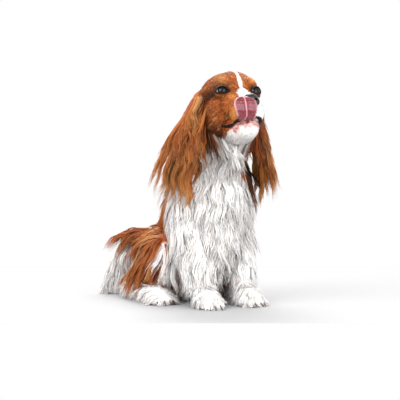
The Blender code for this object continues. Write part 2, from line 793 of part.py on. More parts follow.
def main():
    clear_scene()
    parts = bpy.data.collections.new("cavalier_spaniel")
    tools = bpy.data.collections.new("cutters")
    tools.hide_render = True
    for collection in (parts, tools):
        bpy.context.scene.collection.children.link(collection)
    nodes = body_nodes(parts, tools)
    head = nodes["head"] = head_node(parts, tools)
    nose = nodes["nose"] = beads("nose", NOSE_FORMS, {}, head_matrix(), 0.0012, 5, NOSE_TRIANGLES, parts)
    nostrils(nose, tools)
    tongue = nodes["tongue"] = tongue_node(parts)
    carve(tongue, nose)
    carve(head, nose)
    carve(head, tongue)
    for side, word in ((1, "left"), (-1, "right")):
        eye = nodes[f"eye_{word}"] = eye_node(side, word, parts)
        lids = bpy.data.collections.new("lids")
        bpy.context.scene.collection.children.link(lids)
        lid_pieces(side, lids)
        fuse(head, lids)
        carve(head, eye)
        line = [head_matrix() @ Vector((side * x, y, z)) for x, y, z in LIP_LINE]
        groove = tube("lip_line", onto(line, head), LIP_GROOVE, False, tools)
        boolean(head, groove, "DIFFERENCE")
        keep_largest(head)
        remove(groove)
        toes(nodes[f"foreleg_{word}"], "forepaw", side, tools)
        toes(nodes[f"hindleg_{word}"], "hindpaw", side, tools)
        ear = nodes[f"ear_{word}"] = ear_node(side, word, parts)
        carve(ear, head)
    bone = {"bone": (TAIL_LINE, False)}
    tail = nodes["tail"] = beads("tail", {}, bone, Matrix.Identity(4), 0.004, 4, TAIL_TRIANGLES, parts)
    for name in ("torso", "hindleg_left", "hindleg_right"):
        carve(tail, nodes[name])
    coats(nodes)
    for obj in nodes.values():
        on_floor(obj, tools)
    finishes = {"tongue": ("tongue", (0.62, 0.10, 0.14), 0.3), "nose": ("nose_leather", BLACK, 0.35)}
    finishes["eye_left"] = finishes["eye_right"] = ("eye", BLACK, 0.1)
    for name, obj in nodes.items():
        finish = finishes.get(name, ("coat", CHESTNUT, 0.6))
        obj.data.materials.clear()
        obj.data.materials.append(bpy.data.materials.get(finish[0]) or material(*finish))


main()
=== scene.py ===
"""A cavalier king charles spaniel that sits with its head up and licks its nose.

Metres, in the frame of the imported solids: +Z up, nose towards -Y, the dog's left is +X.
"""

import math

import bmesh
import bpy
import numpy as np
from mathutils import Matrix, Vector
from mathutils.bvhtree import BVHTree


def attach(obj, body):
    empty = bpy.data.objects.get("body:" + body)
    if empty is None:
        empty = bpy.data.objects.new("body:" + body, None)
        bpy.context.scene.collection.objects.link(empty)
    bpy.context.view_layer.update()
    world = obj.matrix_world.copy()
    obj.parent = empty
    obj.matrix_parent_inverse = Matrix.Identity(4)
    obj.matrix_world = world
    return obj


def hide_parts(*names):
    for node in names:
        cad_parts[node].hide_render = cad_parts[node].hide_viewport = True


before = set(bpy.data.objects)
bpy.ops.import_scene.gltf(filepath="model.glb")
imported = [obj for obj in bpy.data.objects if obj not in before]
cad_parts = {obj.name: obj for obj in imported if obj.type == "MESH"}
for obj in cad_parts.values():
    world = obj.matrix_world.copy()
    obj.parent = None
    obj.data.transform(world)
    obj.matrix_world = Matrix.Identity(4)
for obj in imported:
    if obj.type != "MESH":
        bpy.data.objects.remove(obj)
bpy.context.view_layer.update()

# The head's place, as in the solids
HEAD_ORIGIN = Vector((0.0, -0.222, 0.386))
HEAD_PITCH = 14.0  # nose up, degrees
HEAD_YAW = -9.5  # towards the dog's own right
HEAD_SCALE = 1.06
EYE_RADIUS = 0.0112
EYE_CENTRE = Vector((0.0292, -0.0365, 0.0005))  # left eye, head frame
EYE_TURN = 20.0  # each eye looks outwards by this
GLANCE = (0.10, 0.08)  # and both to the dog's left and up by these
IRIS_REACH = 80.0  # degrees from the middle of the pupil at which the eye's colours end
CORNEA_REACH = 42.0  # degrees
CORNEA_BULGE = 0.06
LID_THICKNESS = 0.0019
LID_OPENING = (0.0100, 0.0066, 0.0052)  # half width, height over and under the corners' line
LID_RIM = 0.0012
BODY_VOXEL = 0.0031
HEAD_VOXEL = 0.0015
NOSE_VOXEL = 0.0008
TONGUE_VOXEL = 0.0009
FLOOR_Z = 0.0
SOLE_Z = 0.0015  # soles and rump are cut flat here
FLOOR_SIZE = (4.0, 1.0)  # across the camera's view and along it
FLOOR_AHEAD = 0.175

# Flesh of the body: centre, radii, tilt about X in degrees, mirrored or not
BODY_FORMS = {
    "pelvis": ((0, -0.024, 0.068), (0.060, 0.060, 0.074), -20, False),
    "rump": ((0, 0.002, 0.046), (0.050, 0.046, 0.054), 0, False),
    "loin": ((0, -0.062, 0.126), (0.055, 0.056, 0.082), 36, False),
    "ribcage": ((0, -0.112, 0.180), (0.066, 0.070, 0.104), 34, False),
    "forechest": ((0, -0.160, 0.202), (0.060, 0.060, 0.088), 5, False),
    "bib": ((0, -0.176, 0.170), (0.050, 0.040, 0.084), 0, False),
    "withers": ((0, -0.130, 0.256), (0.048, 0.050, 0.052), 40, False),
    "belly": ((0, -0.100, 0.085), (0.048, 0.060, 0.062), 0, False),
    "shoulder": ((0.046, -0.146, 0.196), (0.034, 0.046, 0.080), 12, True),
    "thigh": ((0.058, -0.058, 0.080), (0.036, 0.062, 0.060), -10, True),
    "knee": ((0.074, -0.096, 0.090), (0.025, 0.034, 0.042), 0, True),
    "hindpaw": ((0.088, -0.104, 0.014), (0.022, 0.032, 0.019), 0, True),
    "forepaw": ((0.044, -0.212, 0.015), (0.023, 0.032, 0.020), 0, True),
}
# Limbs, neck and tail: points with radii, mirrored or not
BODY_CHAINS = {
    "neck": (((0, -0.140, 0.256, 0.054), (0, -0.176, 0.316, 0.049), (0, -0.205, 0.362, 0.044)), False),
    "foreleg": (
        ((0.050, -0.160, 0.150, 0.029), (0.047, -0.178, 0.090, 0.023), (0.045, -0.198, 0.030, 0.019)),
        True,
    ),
    "shank": (
        ((0.080, -0.090, 0.080, 0.025), (0.079, -0.024, 0.042, 0.023), (0.080, 0.004, 0.028, 0.020)),
        True,
    ),
    "hindfoot": (
        ((0.080, 0.004, 0.024, 0.021), (0.084, -0.060, 0.016, 0.018), (0.088, -0.100, 0.014, 0.018)),
        True,
    ),
    "tail": (
        (
            (-0.003, 0.010, 0.078, 0.017),
            (-0.016, 0.036, 0.108, 0.012),
            (-0.034, 0.056, 0.118, 0.011),
            (-0.053, 0.072, 0.104, 0.010),
            (-0.068, 0.084, 0.072, 0.009),
            (-0.078, 0.094, 0.042, 0.008),
            (-0.084, 0.102, 0.022, 0.007),
        ),
        False,
    ),
}
TAIL_LINE = [bead[:3] for bead in BODY_CHAINS["tail"][0]]
# Toes of one paw: out from its middle, ahead of it, radius
TOES = ((-0.0165, 0.020, 0.0092), (-0.0058, 0.028, 0.0100), (0.0058, 0.028, 0.0100), (0.0165, 0.020, 0.0092))
PAWS = ((0.044, -0.212), (0.088, -0.104))
CLAW_RADII = (0.0021, 0.0004)
CLAW_REACH = (0.0065, 0.0055)  # ahead and down
CLAW_DARK = 0.009  # how far out its horn is darkest
# The head in its own frame: origin in the middle of the skull, nose towards -Y
HEAD_FORMS = {
    "cranium": ((0, 0.008, 0.004), (0.0495, 0.0500, 0.0420), 0, False),
    "forehead": ((0, -0.016, 0.006), (0.0430, 0.0335, 0.0360), 0, False),
    "brow": ((0.0200, -0.0270, 0.0125), (0.0195, 0.0185, 0.0175), 0, True),
    "face": ((0, -0.0280, -0.0260), (0.0370, 0.0325, 0.0395), 0, False),
    "cheek": ((0.0270, -0.0100, -0.0330), (0.0255, 0.0345, 0.0345), 0, True),
    "maxilla": ((0.0180, -0.0460, -0.0270), (0.0180, 0.0205, 0.0195), 0, True),
    "stop": ((0, -0.0440, -0.0080), (0.0155, 0.0175, 0.0135), 0, False),
    "bridge": ((0, -0.0600, -0.0200), (0.0160, 0.0315, 0.0145), 16, False),
    "muzzle": ((0, -0.0620, -0.0360), (0.0245, 0.0305, 0.0235), 5, False),
    "flew": ((0.0125, -0.0665, -0.0455), (0.0165, 0.0240, 0.0175), 0, True),
    "jaw": ((0, -0.0360, -0.0640), (0.0290, 0.0420, 0.0225), 3, False),
    "chin": ((0, -0.0650, -0.0715), (0.0185, 0.0215, 0.0170), 0, False),
    "throat": ((0, 0.0060, -0.0480), (0.0390, 0.0420, 0.0370), 0, False),
}
NOSE_FORMS = {
    "leather": ((0, -0.0890, -0.0275), (0.0138, 0.0078, 0.0112), 0, False),
    "tip": ((0, -0.0925, -0.0260), (0.0094, 0.0060, 0.0079), 0, False),
    "wing": ((0.0082, -0.0892, -0.0312), (0.0068, 0.0078, 0.0074), 0, True),
}
NOSTRIL = ((0.0064, -0.0968, -0.0285), (0.0026, 0.0048, 0.0021))  # centre and radii
NOSTRIL_SLIT = ((0.0085, -0.0962, -0.0300), (0.0125, -0.0925, -0.0330), (0.0150, -0.0880, -0.0340))
NOSTRIL_SLIT_RADIUS = 0.0011
# Centre line of the tongue from its root to its tip, with half width and half thickness, head frame
TONGUE = (
    (-0.003, -0.046, -0.0590, 0.0115, 0.0026),
    (-0.006, -0.070, -0.0600, 0.0130, 0.0026),
    (-0.011, -0.088, -0.0605, 0.0150, 0.0026),
    (-0.0145, -0.0975, -0.0570, 0.0168, 0.0026),
    (-0.0160, -0.1020, -0.0490, 0.0200, 0.0026),
    (-0.0168, -0.1035, -0.0410, 0.0214, 0.0025),
    (-0.0170, -0.1030, -0.0340, 0.0196, 0.0023),
    (-0.0170, -0.1010, -0.0290, 0.0140, 0.0020),
    (-0.0170, -0.0990, -0.0262, 0.0066, 0.0015),
)
# The lip line of one side, from the middle of the lower lip back to the corner, head frame
LIP_LINE = (
    (0.0, -0.0900, -0.0600),
    (0.0080, -0.0890, -0.0600),
    (0.0170, -0.0830, -0.0610),
    (0.0240, -0.0700, -0.0630),
    (0.0300, -0.0520, -0.0630),
    (0.0340, -0.0360, -0.0600),
)
LIP_THICKNESS = 0.0030
LIP_SLIT = 0.0013
STREAK_LINE = ((0.0385, -0.030, 0.000), (0.0475, -0.010, -0.006))  # dark hair behind each eye, head frame
TONGUE_BEADS = 6  # between two points of its line
TONGUE_RELIEF = (0.0008, 0.0016, 0.0006)  # its middle ridge, the groove along it, its rolled edge
# The leather of one ear from its root down: out, back, up, half width, half thickness
EAR_LINE = (
    (0.043, -0.207, 0.398, 0.013, 0.0050),
    (0.056, -0.204, 0.386, 0.019, 0.0048),
    (0.065, -0.198, 0.362, 0.023, 0.0046),
    (0.075, -0.192, 0.335, 0.030, 0.0044),
    (0.086, -0.188, 0.310, 0.029, 0.0042),
    (0.090, -0.187, 0.294, 0.017, 0.0038),
)
EAR_MIDDLE = [point[:3] for point in EAR_LINE]
EAR_CUP = 0.008  # the leather's edges turn in towards the head by this
EAR_TURN = 0.25  # its rear edge stands further out than the front one, as a share of the width
EAR_SPREAD = {1: 0.52, -1: 0.06}  # how far each ear's hair leads outwards
SIDES = ((1, "left"), (-1, "right"))
FLESH_NODES = ("head", "neck", "chest", "torso", "tail") + tuple(
    f"{part}_{side}" for part in ("foreleg", "hindleg", "ear") for side in ("left", "right")
)
# Grains to the metre: fur 1.7 mm and the tongue's spots 1.9 mm across, both drawn coarse enough to
# show, and the pebbles of the nose leather 1.1 mm, as on a dog
FUR_GRAINS = 600.0
TONGUE_SPOTS = 520.0
NOSE_PEBBLES = 900.0
# Tufts
TUFT_LENGTHS = (0.72, 1.06)  # shares of the lock that leads them
TUFT_WIDTHS = (0.7, 1.25)  # shares of the piece's own width
TUFT_PATCH = 0.003  # how far across a tuft's patch of the bake map is
TUFT_CLEAR = 0.0006  # tufts stay this far above the floor
LOCK_CLEAR = 0.0015  # and the locks that lead them this far
FLOOR_DRAG = 0.6  # what is left of a lock's step once it lies on the floor
WAVE_PATCH = 0.055  # locks wave together over patches of about this size
WAVE_SPREAD = (5.0, 0.9)  # how far apart in their waves patches are, and locks that touch

# Camera: the photo's angle, fitted to the dog's paws, rump, head and face
CAMERA_TARGET = Vector((0, -0.1, 0.2))
CAMERA_DISTANCE = 2.6
CAMERA_AZIMUTH = -30.4
CAMERA_ELEVATION = 2.3
PHOTO_SIZE = 400
FOCAL_PIXELS = 1353.0
PRINCIPAL_POINT = (196.2, 197.0)
# Studio lights: azimuth, height, reach, side and watts
SOFTBOXES = (
    ("key_softbox", -70, 1.6, 2.4, 2.0, 58.0),
    ("fill_softbox", 10, 0.9, 2.6, 2.2, 46.0),
    ("back_softbox", 155, 2.2, 1.4, 1.4, 48.0),
)


def linear(code):
    """A colour written as sRGB hex, in linear light."""
    parts = [int(code[i : i + 2], 16) / 255 for i in (1, 3, 5)]
    return tuple(c / 12.92 if c <= 0.04045 else ((c + 0.055) / 1.055) ** 2.4 for c in parts) + (1.0,)


def feed(tree, node, inputs):
    """Sets inputs of a shader node. Each is a number, a colour or the socket that feeds it."""
    for key, value in inputs.items():
        if isinstance(value, bpy.types.NodeSocket):
            tree.links.new(value, node.inputs[key])
        else:
            node.inputs[key].default_value = value


def add_node(tree, kind, inputs=None, stops=(), **settings):
    """Adds a shader node with its settings, its inputs and, on a ramp, its colours."""
    node = tree.nodes.new(kind)
    for key, value in settings.items():
        setattr(node, key, value)
    feed(tree, node, inputs or {})
    if stops:
        points = node.color_ramp.elements
        while len(points) < len(stops):
            points.new(0.5)
        for point, (place, code) in zip(points, stops):
            point.position = place
            point.color = linear(code)
    return node


def head_matrix():
    """The head's own frame in the row frame."""
    turn = Matrix.Rotation(math.radians(HEAD_YAW), 4, "Z")
    nod = Matrix.Rotation(math.radians(-HEAD_PITCH), 4, "X")
    return Matrix.Translation(HEAD_ORIGIN) @ turn @ nod @ Matrix.Scale(HEAD_SCALE, 4)


TO_HEAD = np.array(head_matrix().inverted())


def in_head(points):
    """Points of the row frame in the head's own frame."""
    return points @ TO_HEAD[:3, :3].T + TO_HEAD[:3, 3]


def on_side(point, side):
    """A place on the dog's left, or its mirror image where side is -1."""
    return (side * point[0], point[1], point[2])


def held(value):
    """A number kept between 0 and 1."""
    return min(1.0, max(0.0, value))


# Shapes of flesh
def add_sphere(bm, matrix, across, along):
    """One sphere under a matrix, made alone and then added, which is quick however many there are."""
    ball = bmesh.new()
    bmesh.ops.create_uvsphere(ball, u_segments=across, v_segments=along, radius=1.0, matrix=matrix)
    mesh = bpy.data.meshes.new("ball")
    ball.to_mesh(mesh)
    ball.free()
    bm.from_mesh(mesh)
    bpy.data.meshes.remove(mesh)


def add_ball(bm, centre, radii, tilt, place, segments=24):
    """One ellipsoid of flesh, tilted about its own X axis."""
    turned = place @ Matrix.Translation(centre) @ Matrix.Rotation(math.radians(tilt), 4, "X")
    add_sphere(bm, turned @ Matrix.Diagonal((*radii, 1.0)), segments, segments // 2)


def add_forms(bm, forms, place):
    """Every ellipsoid of a table, with its mirror image where it has one."""
    for centre, radii, tilt, mirrored in forms.values():
        for side in (1, -1) if mirrored else (1,):
            add_ball(bm, on_side(centre, side), radii, tilt, place)


def add_chains(bm, chains):
    """Every limb of a table, as beads set close along its line."""
    for points, mirrored in chains.values():
        for side in (1, -1) if mirrored else (1,):
            for start, end in zip(points, points[1:]):
                a, b = Vector(start[:3]), Vector(end[:3])
                count = max(2, math.ceil((b - a).length / (0.3 * min(start[3], end[3]))))
                for i in range(count + 1):
                    middle = a.lerp(b, i / count)
                    middle.x *= side
                    radius = start[3] + (end[3] - start[3]) * i / count
                    add_ball(bm, middle, (radius,) * 3, 0, Matrix.Identity(4), 16)


def eye_frame(side):
    """The place and look of one eye, in the row frame: X along the lids, -Y ahead."""
    turn = Matrix.Rotation(math.radians(side * EYE_TURN), 4, "Z")
    return head_matrix() @ Matrix.Translation(on_side(EYE_CENTRE, side)) @ turn


def lid_outline(count):
    """The almond between the lids, as places across and up."""
    wide, over, under = LID_OPENING
    outline = []
    for i in range(count):
        angle = math.tau * i / count
        high = (over if math.sin(angle) > 0 else under) * math.sin(angle)
        outline.append((wide * math.cos(angle), high * (0.55 + 0.45 * abs(math.sin(angle)))))
    return outline


def add_lids(bm):
    """Flesh over each eyeball with a thick rim round the almond where it opens."""
    for side in (1, -1):
        add_ball(bm, (0, 0.0005, 0), (EYE_RADIUS + LID_THICKNESS,) * 3, 0, eye_frame(side), 48)
        for across, up in lid_outline(56):
            ahead = math.sqrt((EYE_RADIUS + LID_RIM * 0.9) ** 2 - across**2 - up**2)
            add_ball(bm, (across * 1.09, -ahead, up * 1.16), (LID_RIM,) * 3, 0, eye_frame(side), 8)


def lid_cutter(side):
    """The open almond of one eye, as a bar that looks ahead from the eyeball's middle."""
    bm = bmesh.new()
    outline = lid_outline(40)
    rings = [
        [bm.verts.new(eye_frame(side) @ Vector((across, ahead, up))) for across, up in outline]
        for ahead in (0.0, -2 * EYE_RADIUS)
    ]
    for i in range(len(outline)):
        k = (i + 1) % len(outline)
        bm.faces.new((rings[0][i], rings[0][k], rings[1][k], rings[1][i]))
    for ring in rings:
        bm.faces.new(ring)
    bmesh.ops.recalc_face_normals(bm, faces=bm.faces)
    return object_of(bm, "cutter")


def add_ears(bm):
    """The leather of both ears, hollow on the side of the head."""
    for side in (1, -1):
        for start, end in zip(EAR_LINE, EAR_LINE[1:]):
            for i in range(4):
                x, y, z, wide, thick = (a + (b - a) * i / 4 for a, b in zip(start, end))
                for across in np.linspace(-1, 1, 7):
                    stretch = Matrix.Diagonal((thick, 0.30 * wide, 0.008, 1.0))
                    out = x - EAR_CUP * across**2 + EAR_TURN * across * wide
                    place = Matrix.Translation((side * out, y + 0.78 * across * wide, z))
                    add_sphere(bm, place @ stretch, 10, 8)


def object_of(bm, name):
    """A new object that holds this mesh."""
    mesh = bpy.data.meshes.new(name)
    bm.to_mesh(mesh)
    bm.free()
    obj = bpy.data.objects.new(name, mesh)
    bpy.context.scene.collection.objects.link(obj)
    return obj


def apply_modifiers(obj):
    """The object's mesh becomes the one that its modifiers give."""
    graph = bpy.context.evaluated_depsgraph_get()
    mesh = bpy.data.meshes.new_from_object(obj.evaluated_get(graph))
    old = obj.data
    obj.modifiers.clear()
    obj.data = mesh
    bpy.data.meshes.remove(old)
    mesh.name = obj.name


def one_skin(obj, voxel, smoothing):
    """Melts overlapping forms into one soft skin."""
    remesh = obj.modifiers.new("one_skin", "REMESH")
    remesh.mode = "VOXEL"
    remesh.voxel_size = voxel
    smooth = obj.modifiers.new("soft", "SMOOTH")
    smooth.factor = 0.5
    smooth.iterations = smoothing
    apply_modifiers(obj)


def boolean(obj, other, operation):
    """Joins or cuts obj with another object, which is then removed."""
    step = obj.modifiers.new(operation.lower(), "BOOLEAN")
    step.operation = operation
    step.solver = "MANIFOLD"
    step.object = other
    apply_modifiers(obj)
    mesh = other.data
    bpy.data.objects.remove(other)
    bpy.data.meshes.remove(mesh)


def ball_object(centre, radii, segments):
    """One ellipsoid in the head's frame, as a cutter."""
    bm = bmesh.new()
    add_ball(bm, centre, radii, 0, head_matrix(), segments)
    return object_of(bm, "cutter")


def tube(points, radius):
    """A round bar along points, as a mesh."""
    curve = bpy.data.curves.new("bar", "CURVE")
    curve.dimensions = "3D"
    curve.bevel_depth = radius
    curve.bevel_resolution = 3
    curve.use_fill_caps = True
    spline = curve.splines.new("POLY")
    spline.points.add(len(points) - 1)
    for target, point in zip(spline.points, points):
        target.co = (*point, 1.0)
    bar = bpy.data.objects.new("bar", curve)
    bpy.context.scene.collection.objects.link(bar)
    mesh = bpy.data.meshes.new_from_object(bar.evaluated_get(bpy.context.evaluated_depsgraph_get()))
    bm = bmesh.new()
    bm.from_mesh(mesh)
    bmesh.ops.remove_doubles(bm, verts=bm.verts, dist=1e-5)
    bmesh.ops.recalc_face_normals(bm, faces=bm.faces)
    bpy.data.objects.remove(bar)
    bpy.data.curves.remove(curve)
    bpy.data.meshes.remove(mesh)
    return object_of(bm, "bar")


def tree_of(obj):
    """For the nearest place on an object's surface."""
    bm = bmesh.new()
    bm.from_mesh(obj.data)
    tree = BVHTree.FromBMesh(bm)
    bm.free()
    return tree


def smooth_line(points, steps):
    """A soft curve through points."""
    points = [Vector(p) for p in points]
    ends = [2 * points[0] - points[1], *points, 2 * points[-1] - points[-2]]
    line = []
    for i in range(len(points) - 1):
        a, b, c, d = ends[i : i + 4]
        for k in range(steps):
            t = k / steps
            bend, twist = 2 * a - 5 * b + 4 * c - d, 3 * b - a - 3 * c + d
            line.append(0.5 * (2 * b + (c - a) * t + bend * t * t + twist * t**3))
    return line + [points[-1]]


def make_skin():
    """Body, legs, tail, head and ear leathers as one closed skin."""
    bm = bmesh.new()
    still = Matrix.Identity(4)
    add_forms(bm, BODY_FORMS, still)
    add_chains(bm, BODY_CHAINS)
    for x, y in PAWS:
        for out, ahead, radius in TOES:
            for side in (1, -1):
                centre = (side * (x + out), y - ahead, radius * 0.95)
                add_ball(bm, centre, (radius, radius * 1.3, radius), 0, still, 12)
    body = object_of(bm, "skin")
    one_skin(body, BODY_VOXEL, 6)
    floor_cut = bmesh.new()
    bmesh.ops.create_cube(floor_cut, size=1.0, matrix=Matrix.Translation((0, 0, SOLE_Z - 0.5)))
    boolean(body, object_of(floor_cut, "cutter"), "DIFFERENCE")
    bm = bmesh.new()
    add_forms(bm, HEAD_FORMS, head_matrix())
    add_lids(bm)
    add_ears(bm)
    head = object_of(bm, "head_skin")
    one_skin(head, HEAD_VOXEL, 4)
    tree = tree_of(head)
    for side in (1, -1):
        line = [head_matrix() @ p for p in smooth_line([on_side(p, side) for p in LIP_LINE], 5)]
        on_skin = [tree.find_nearest(point)[:2] for point in line]
        boolean(head, tube([place for place, _ in on_skin], LIP_THICKNESS), "UNION")
        slit = [place + out * (LIP_THICKNESS - 0.4 * LIP_SLIT) for place, out in on_skin]
        boolean(head, tube(slit, LIP_SLIT), "DIFFERENCE")
        socket = ball_object(on_side(EYE_CENTRE, side), (EYE_RADIUS * 1.015,) * 3, 48)
        boolean(head, socket, "DIFFERENCE")
        boolean(head, lid_cutter(side), "DIFFERENCE")
    boolean(body, head, "UNION")
    return body


# Numbers that vary over the coat, worked out from the place alone
def waves(points, size, seed):
    """A soft random number between -1 and 1 for each place, with lumps of about this size."""
    draw = np.random.default_rng(seed)
    total = np.zeros(len(points))
    for _ in range(7):
        direction = draw.normal(size=3)
        direction *= 2.2 / (size * np.linalg.norm(direction))
        total += np.sin(points @ direction + draw.uniform(0, math.tau))
    return np.clip(total / 3.2, -1, 1)


def soft_step(value, low, high):
    """0 below low and 1 above high, with a soft rise."""
    t = np.clip((value - low) / (high - low), 0, 1)
    return t * t * (3 - 2 * t)


def distance_to_line(points, line):
    """From each place to a line of points."""
    best = np.full(len(points), 1e9)
    for start, end in zip(line, line[1:]):
        a, b = np.array(start), np.array(end)
        along = np.clip(((points - a) @ (b - a)) / ((b - a) @ (b - a)), 0, 1)
        best = np.minimum(best, np.linalg.norm(points - (a + along[:, None] * (b - a)), axis=1))
    return best


def rim_of_lids(points):
    """1 on the bare dark rims of the lids and at their inner corners."""
    wide, over, under = LID_OPENING
    best = np.zeros(len(points))
    for side in (1, -1):
        to_eye = np.array(eye_frame(side).inverted())
        across, ahead, up = (points @ to_eye[:3, :3].T + to_eye[:3, 3]).T
        high = np.where(up > 0, over, under)
        ring = np.sqrt((across / (wide + 0.0024)) ** 2 + (up / (high + 0.0016)) ** 2)
        corner = np.hypot(across + side * (wide + 0.0020), up + 0.0012)
        mark = np.maximum(1 - soft_step(ring, 0.98, 1.12), 1 - soft_step(corner, 0.0022, 0.0038))
        best = np.maximum(best, mark * (ahead < 0))
    return best


def near(places, centre, inner, outer):
    """1 within inner of a centre and 0 beyond outer."""
    return 1 - soft_step(np.linalg.norm(places - np.array(centre), axis=1), inner, outer)


def share_of_head(points):
    """1 on the skull and muzzle, 0 on the neck and below."""
    reach = distance_to_line(in_head(points), [(0, 0.004, -0.004), (0, -0.065, -0.042)])
    return 1 - soft_step(reach, 0.058, 0.064)


def to_either(h, line):
    """How far places of the head's frame are from a line or its mirror image."""
    return np.minimum(distance_to_line(h, line), distance_to_line(h * (-1, 1, 1), line))


def to_spots(h):
    """How far places of the head's frame are from the nearest whisker's root, seen from the side."""
    spots = [
        (-0.0560 - 0.0052 * k, -0.0400 - 0.0055 * row + 0.0006 * k)
        for row in range(3)
        for k in range(5)
    ]
    away = np.min([np.linalg.norm(h[:, 1:] - spot, axis=1) for spot in spots], axis=0)
    return np.where(np.abs(h[:, 0]) > 0.012, away, 1.0)


def lower_lip(h, edge=0.0):
    """How far places of the head's frame belong to the thinly haired lower lip."""
    lip = soft_step(-h[:, 2], 0.0600, 0.0610) * (1 - soft_step(-h[:, 2] + edge, 0.0710, 0.0840))
    return lip * soft_step(-h[:, 1], 0.050, 0.058) * (1 - soft_step(np.abs(h[:, 0]), 0.022, 0.028))


def markings(points):
    """White, dark and bare pink shares of the coat at each place."""
    x, y, z = points.T
    h = in_head(points)
    hx, hy, hz = h.T
    edge = 0.006 * waves(points, 0.022, 1) + 0.003 * waves(points, 0.009, 2)
    # the white of the body: chest, forelegs, belly, hind feet and the tail's plume
    middle = np.interp(z, [0.10, 0.20, 0.256, 0.316, 0.362], [-0.110, -0.122, -0.142, -0.176, -0.205])
    turn = np.degrees(np.arctan2(x, -(y - middle))) + 700 * edge
    right_end = np.interp(z, [0.20, 0.27, 0.32], [-84, -92, -74])
    left_end = np.interp(z, [0.14, 0.20, 0.25, 0.275, 0.30], [66, 53, 43, 36, 28])
    chest = soft_step(turn - right_end, 0, 6) * (1 - soft_step(turn - left_end, 0, 6))
    chest *= 1 - soft_step(z + edge, 0.314, 0.320) * soft_step(np.abs(x - 0.006) + edge, 0.024, 0.030)
    low_front = soft_step(0.150 - z + edge, 0, 0.006) * soft_step(-0.136 - y + edge, 0, 0.006)
    feet = soft_step(0.034 - z + 0.5 * (np.abs(x) - 0.07) + edge, 0, 0.006)
    belly = soft_step(0.052 - np.abs(x) + edge, 0, 0.006) * soft_step(0.09 - z + edge, 0, 0.006)
    on_tail = 1 - soft_step(distance_to_line(points, TAIL_LINE), 0.024, 0.028)
    plume = on_tail * soft_step(y, 0.040, 0.046) * soft_step(0.104 - z + edge, 0, 0.006)
    body_white = np.maximum.reduce([chest, low_front, feet, belly, plume])
    # the white of the head: blaze, bridge, muzzle, chin
    blaze = 0.0042 - 0.0012 * soft_step(hz, 0.02, 0.04) + 0.0075 * soft_step(-hz, -0.006, 0.010)
    blaze = blaze + 0.004 * soft_step(-hy, 0.062, 0.078)
    on_blaze = soft_step(blaze - np.abs(hx - 0.001) + 0.25 * edge, 0, 0.002)
    on_blaze *= 1 - soft_step(hy, -0.004, 0.012)
    front = soft_step(-hy - 0.0735 + 0.3 * edge, 0, 0.003) * soft_step(hz, -0.050, -0.046)
    front = front * soft_step(hx + 0.007 + 0.3 * edge, 0, 0.003)
    far_flew = soft_step(hx - 0.004 + 0.3 * edge, 0, 0.003) * soft_step(-hy - 0.052, 0, 0.006)
    far_flew *= 1 - soft_step(hz, -0.012, -0.006)
    chin = soft_step(-hz - 0.0605, 0, 0.0015) * soft_step(-hy - 0.046 + edge - 0.35 * np.abs(hx), 0, 0.006)
    under = soft_step(-hz - 0.066 + 0.5 * edge, 0, 0.004)
    under *= 1 - soft_step(np.abs(hx + 0.006) + edge, 0.026, 0.032)
    head_white = np.maximum.reduce([on_blaze, front, far_flew, chin, under])
    of_head = share_of_head(points)
    on_ear = soft_step(np.abs(x), 0.060, 0.066) * soft_step(z, 0.27, 0.28)
    white = head_white * of_head + body_white * (1 - of_head)
    white *= 1 - on_ear
    # dark: lips, lids, the streak behind each eye, the whiskers' roots
    dark = np.maximum.reduce([
        1 - soft_step(to_either(h, LIP_LINE), 0.0042, 0.0056),
        rim_of_lids(points),
        0.75 * (1 - soft_step(to_either(h, STREAK_LINE), 0.0015, 0.0045)),
        0.8 * (1 - soft_step(to_spots(h), 0.0004, 0.0011)),
    ])
    dark *= of_head
    # bare pink skin of the lower lip, with dark specks
    pink = of_head * lower_lip(h, edge)
    dark = np.maximum(dark, 0.7 * pink * soft_step(waves(points, 0.0022, 8), 0.45, 0.75))
    pink = np.clip(pink * (0.85 + 0.3 * waves(points, 0.0035, 3)), 0, 1)
    return white, dark, pink


def store(mesh, name, values):
    """Keeps a number for every point of a mesh."""
    layer = mesh.attributes.new(name, "FLOAT", "POINT")
    layer.data.foreach_set("value", np.asarray(values, dtype=np.float32))


def places_of(mesh):
    """Every point of a mesh, as rows."""
    places = np.empty(len(mesh.vertices) * 3, dtype=np.float32)
    mesh.vertices.foreach_get("co", places)
    return places.reshape(-1, 3).astype(float)


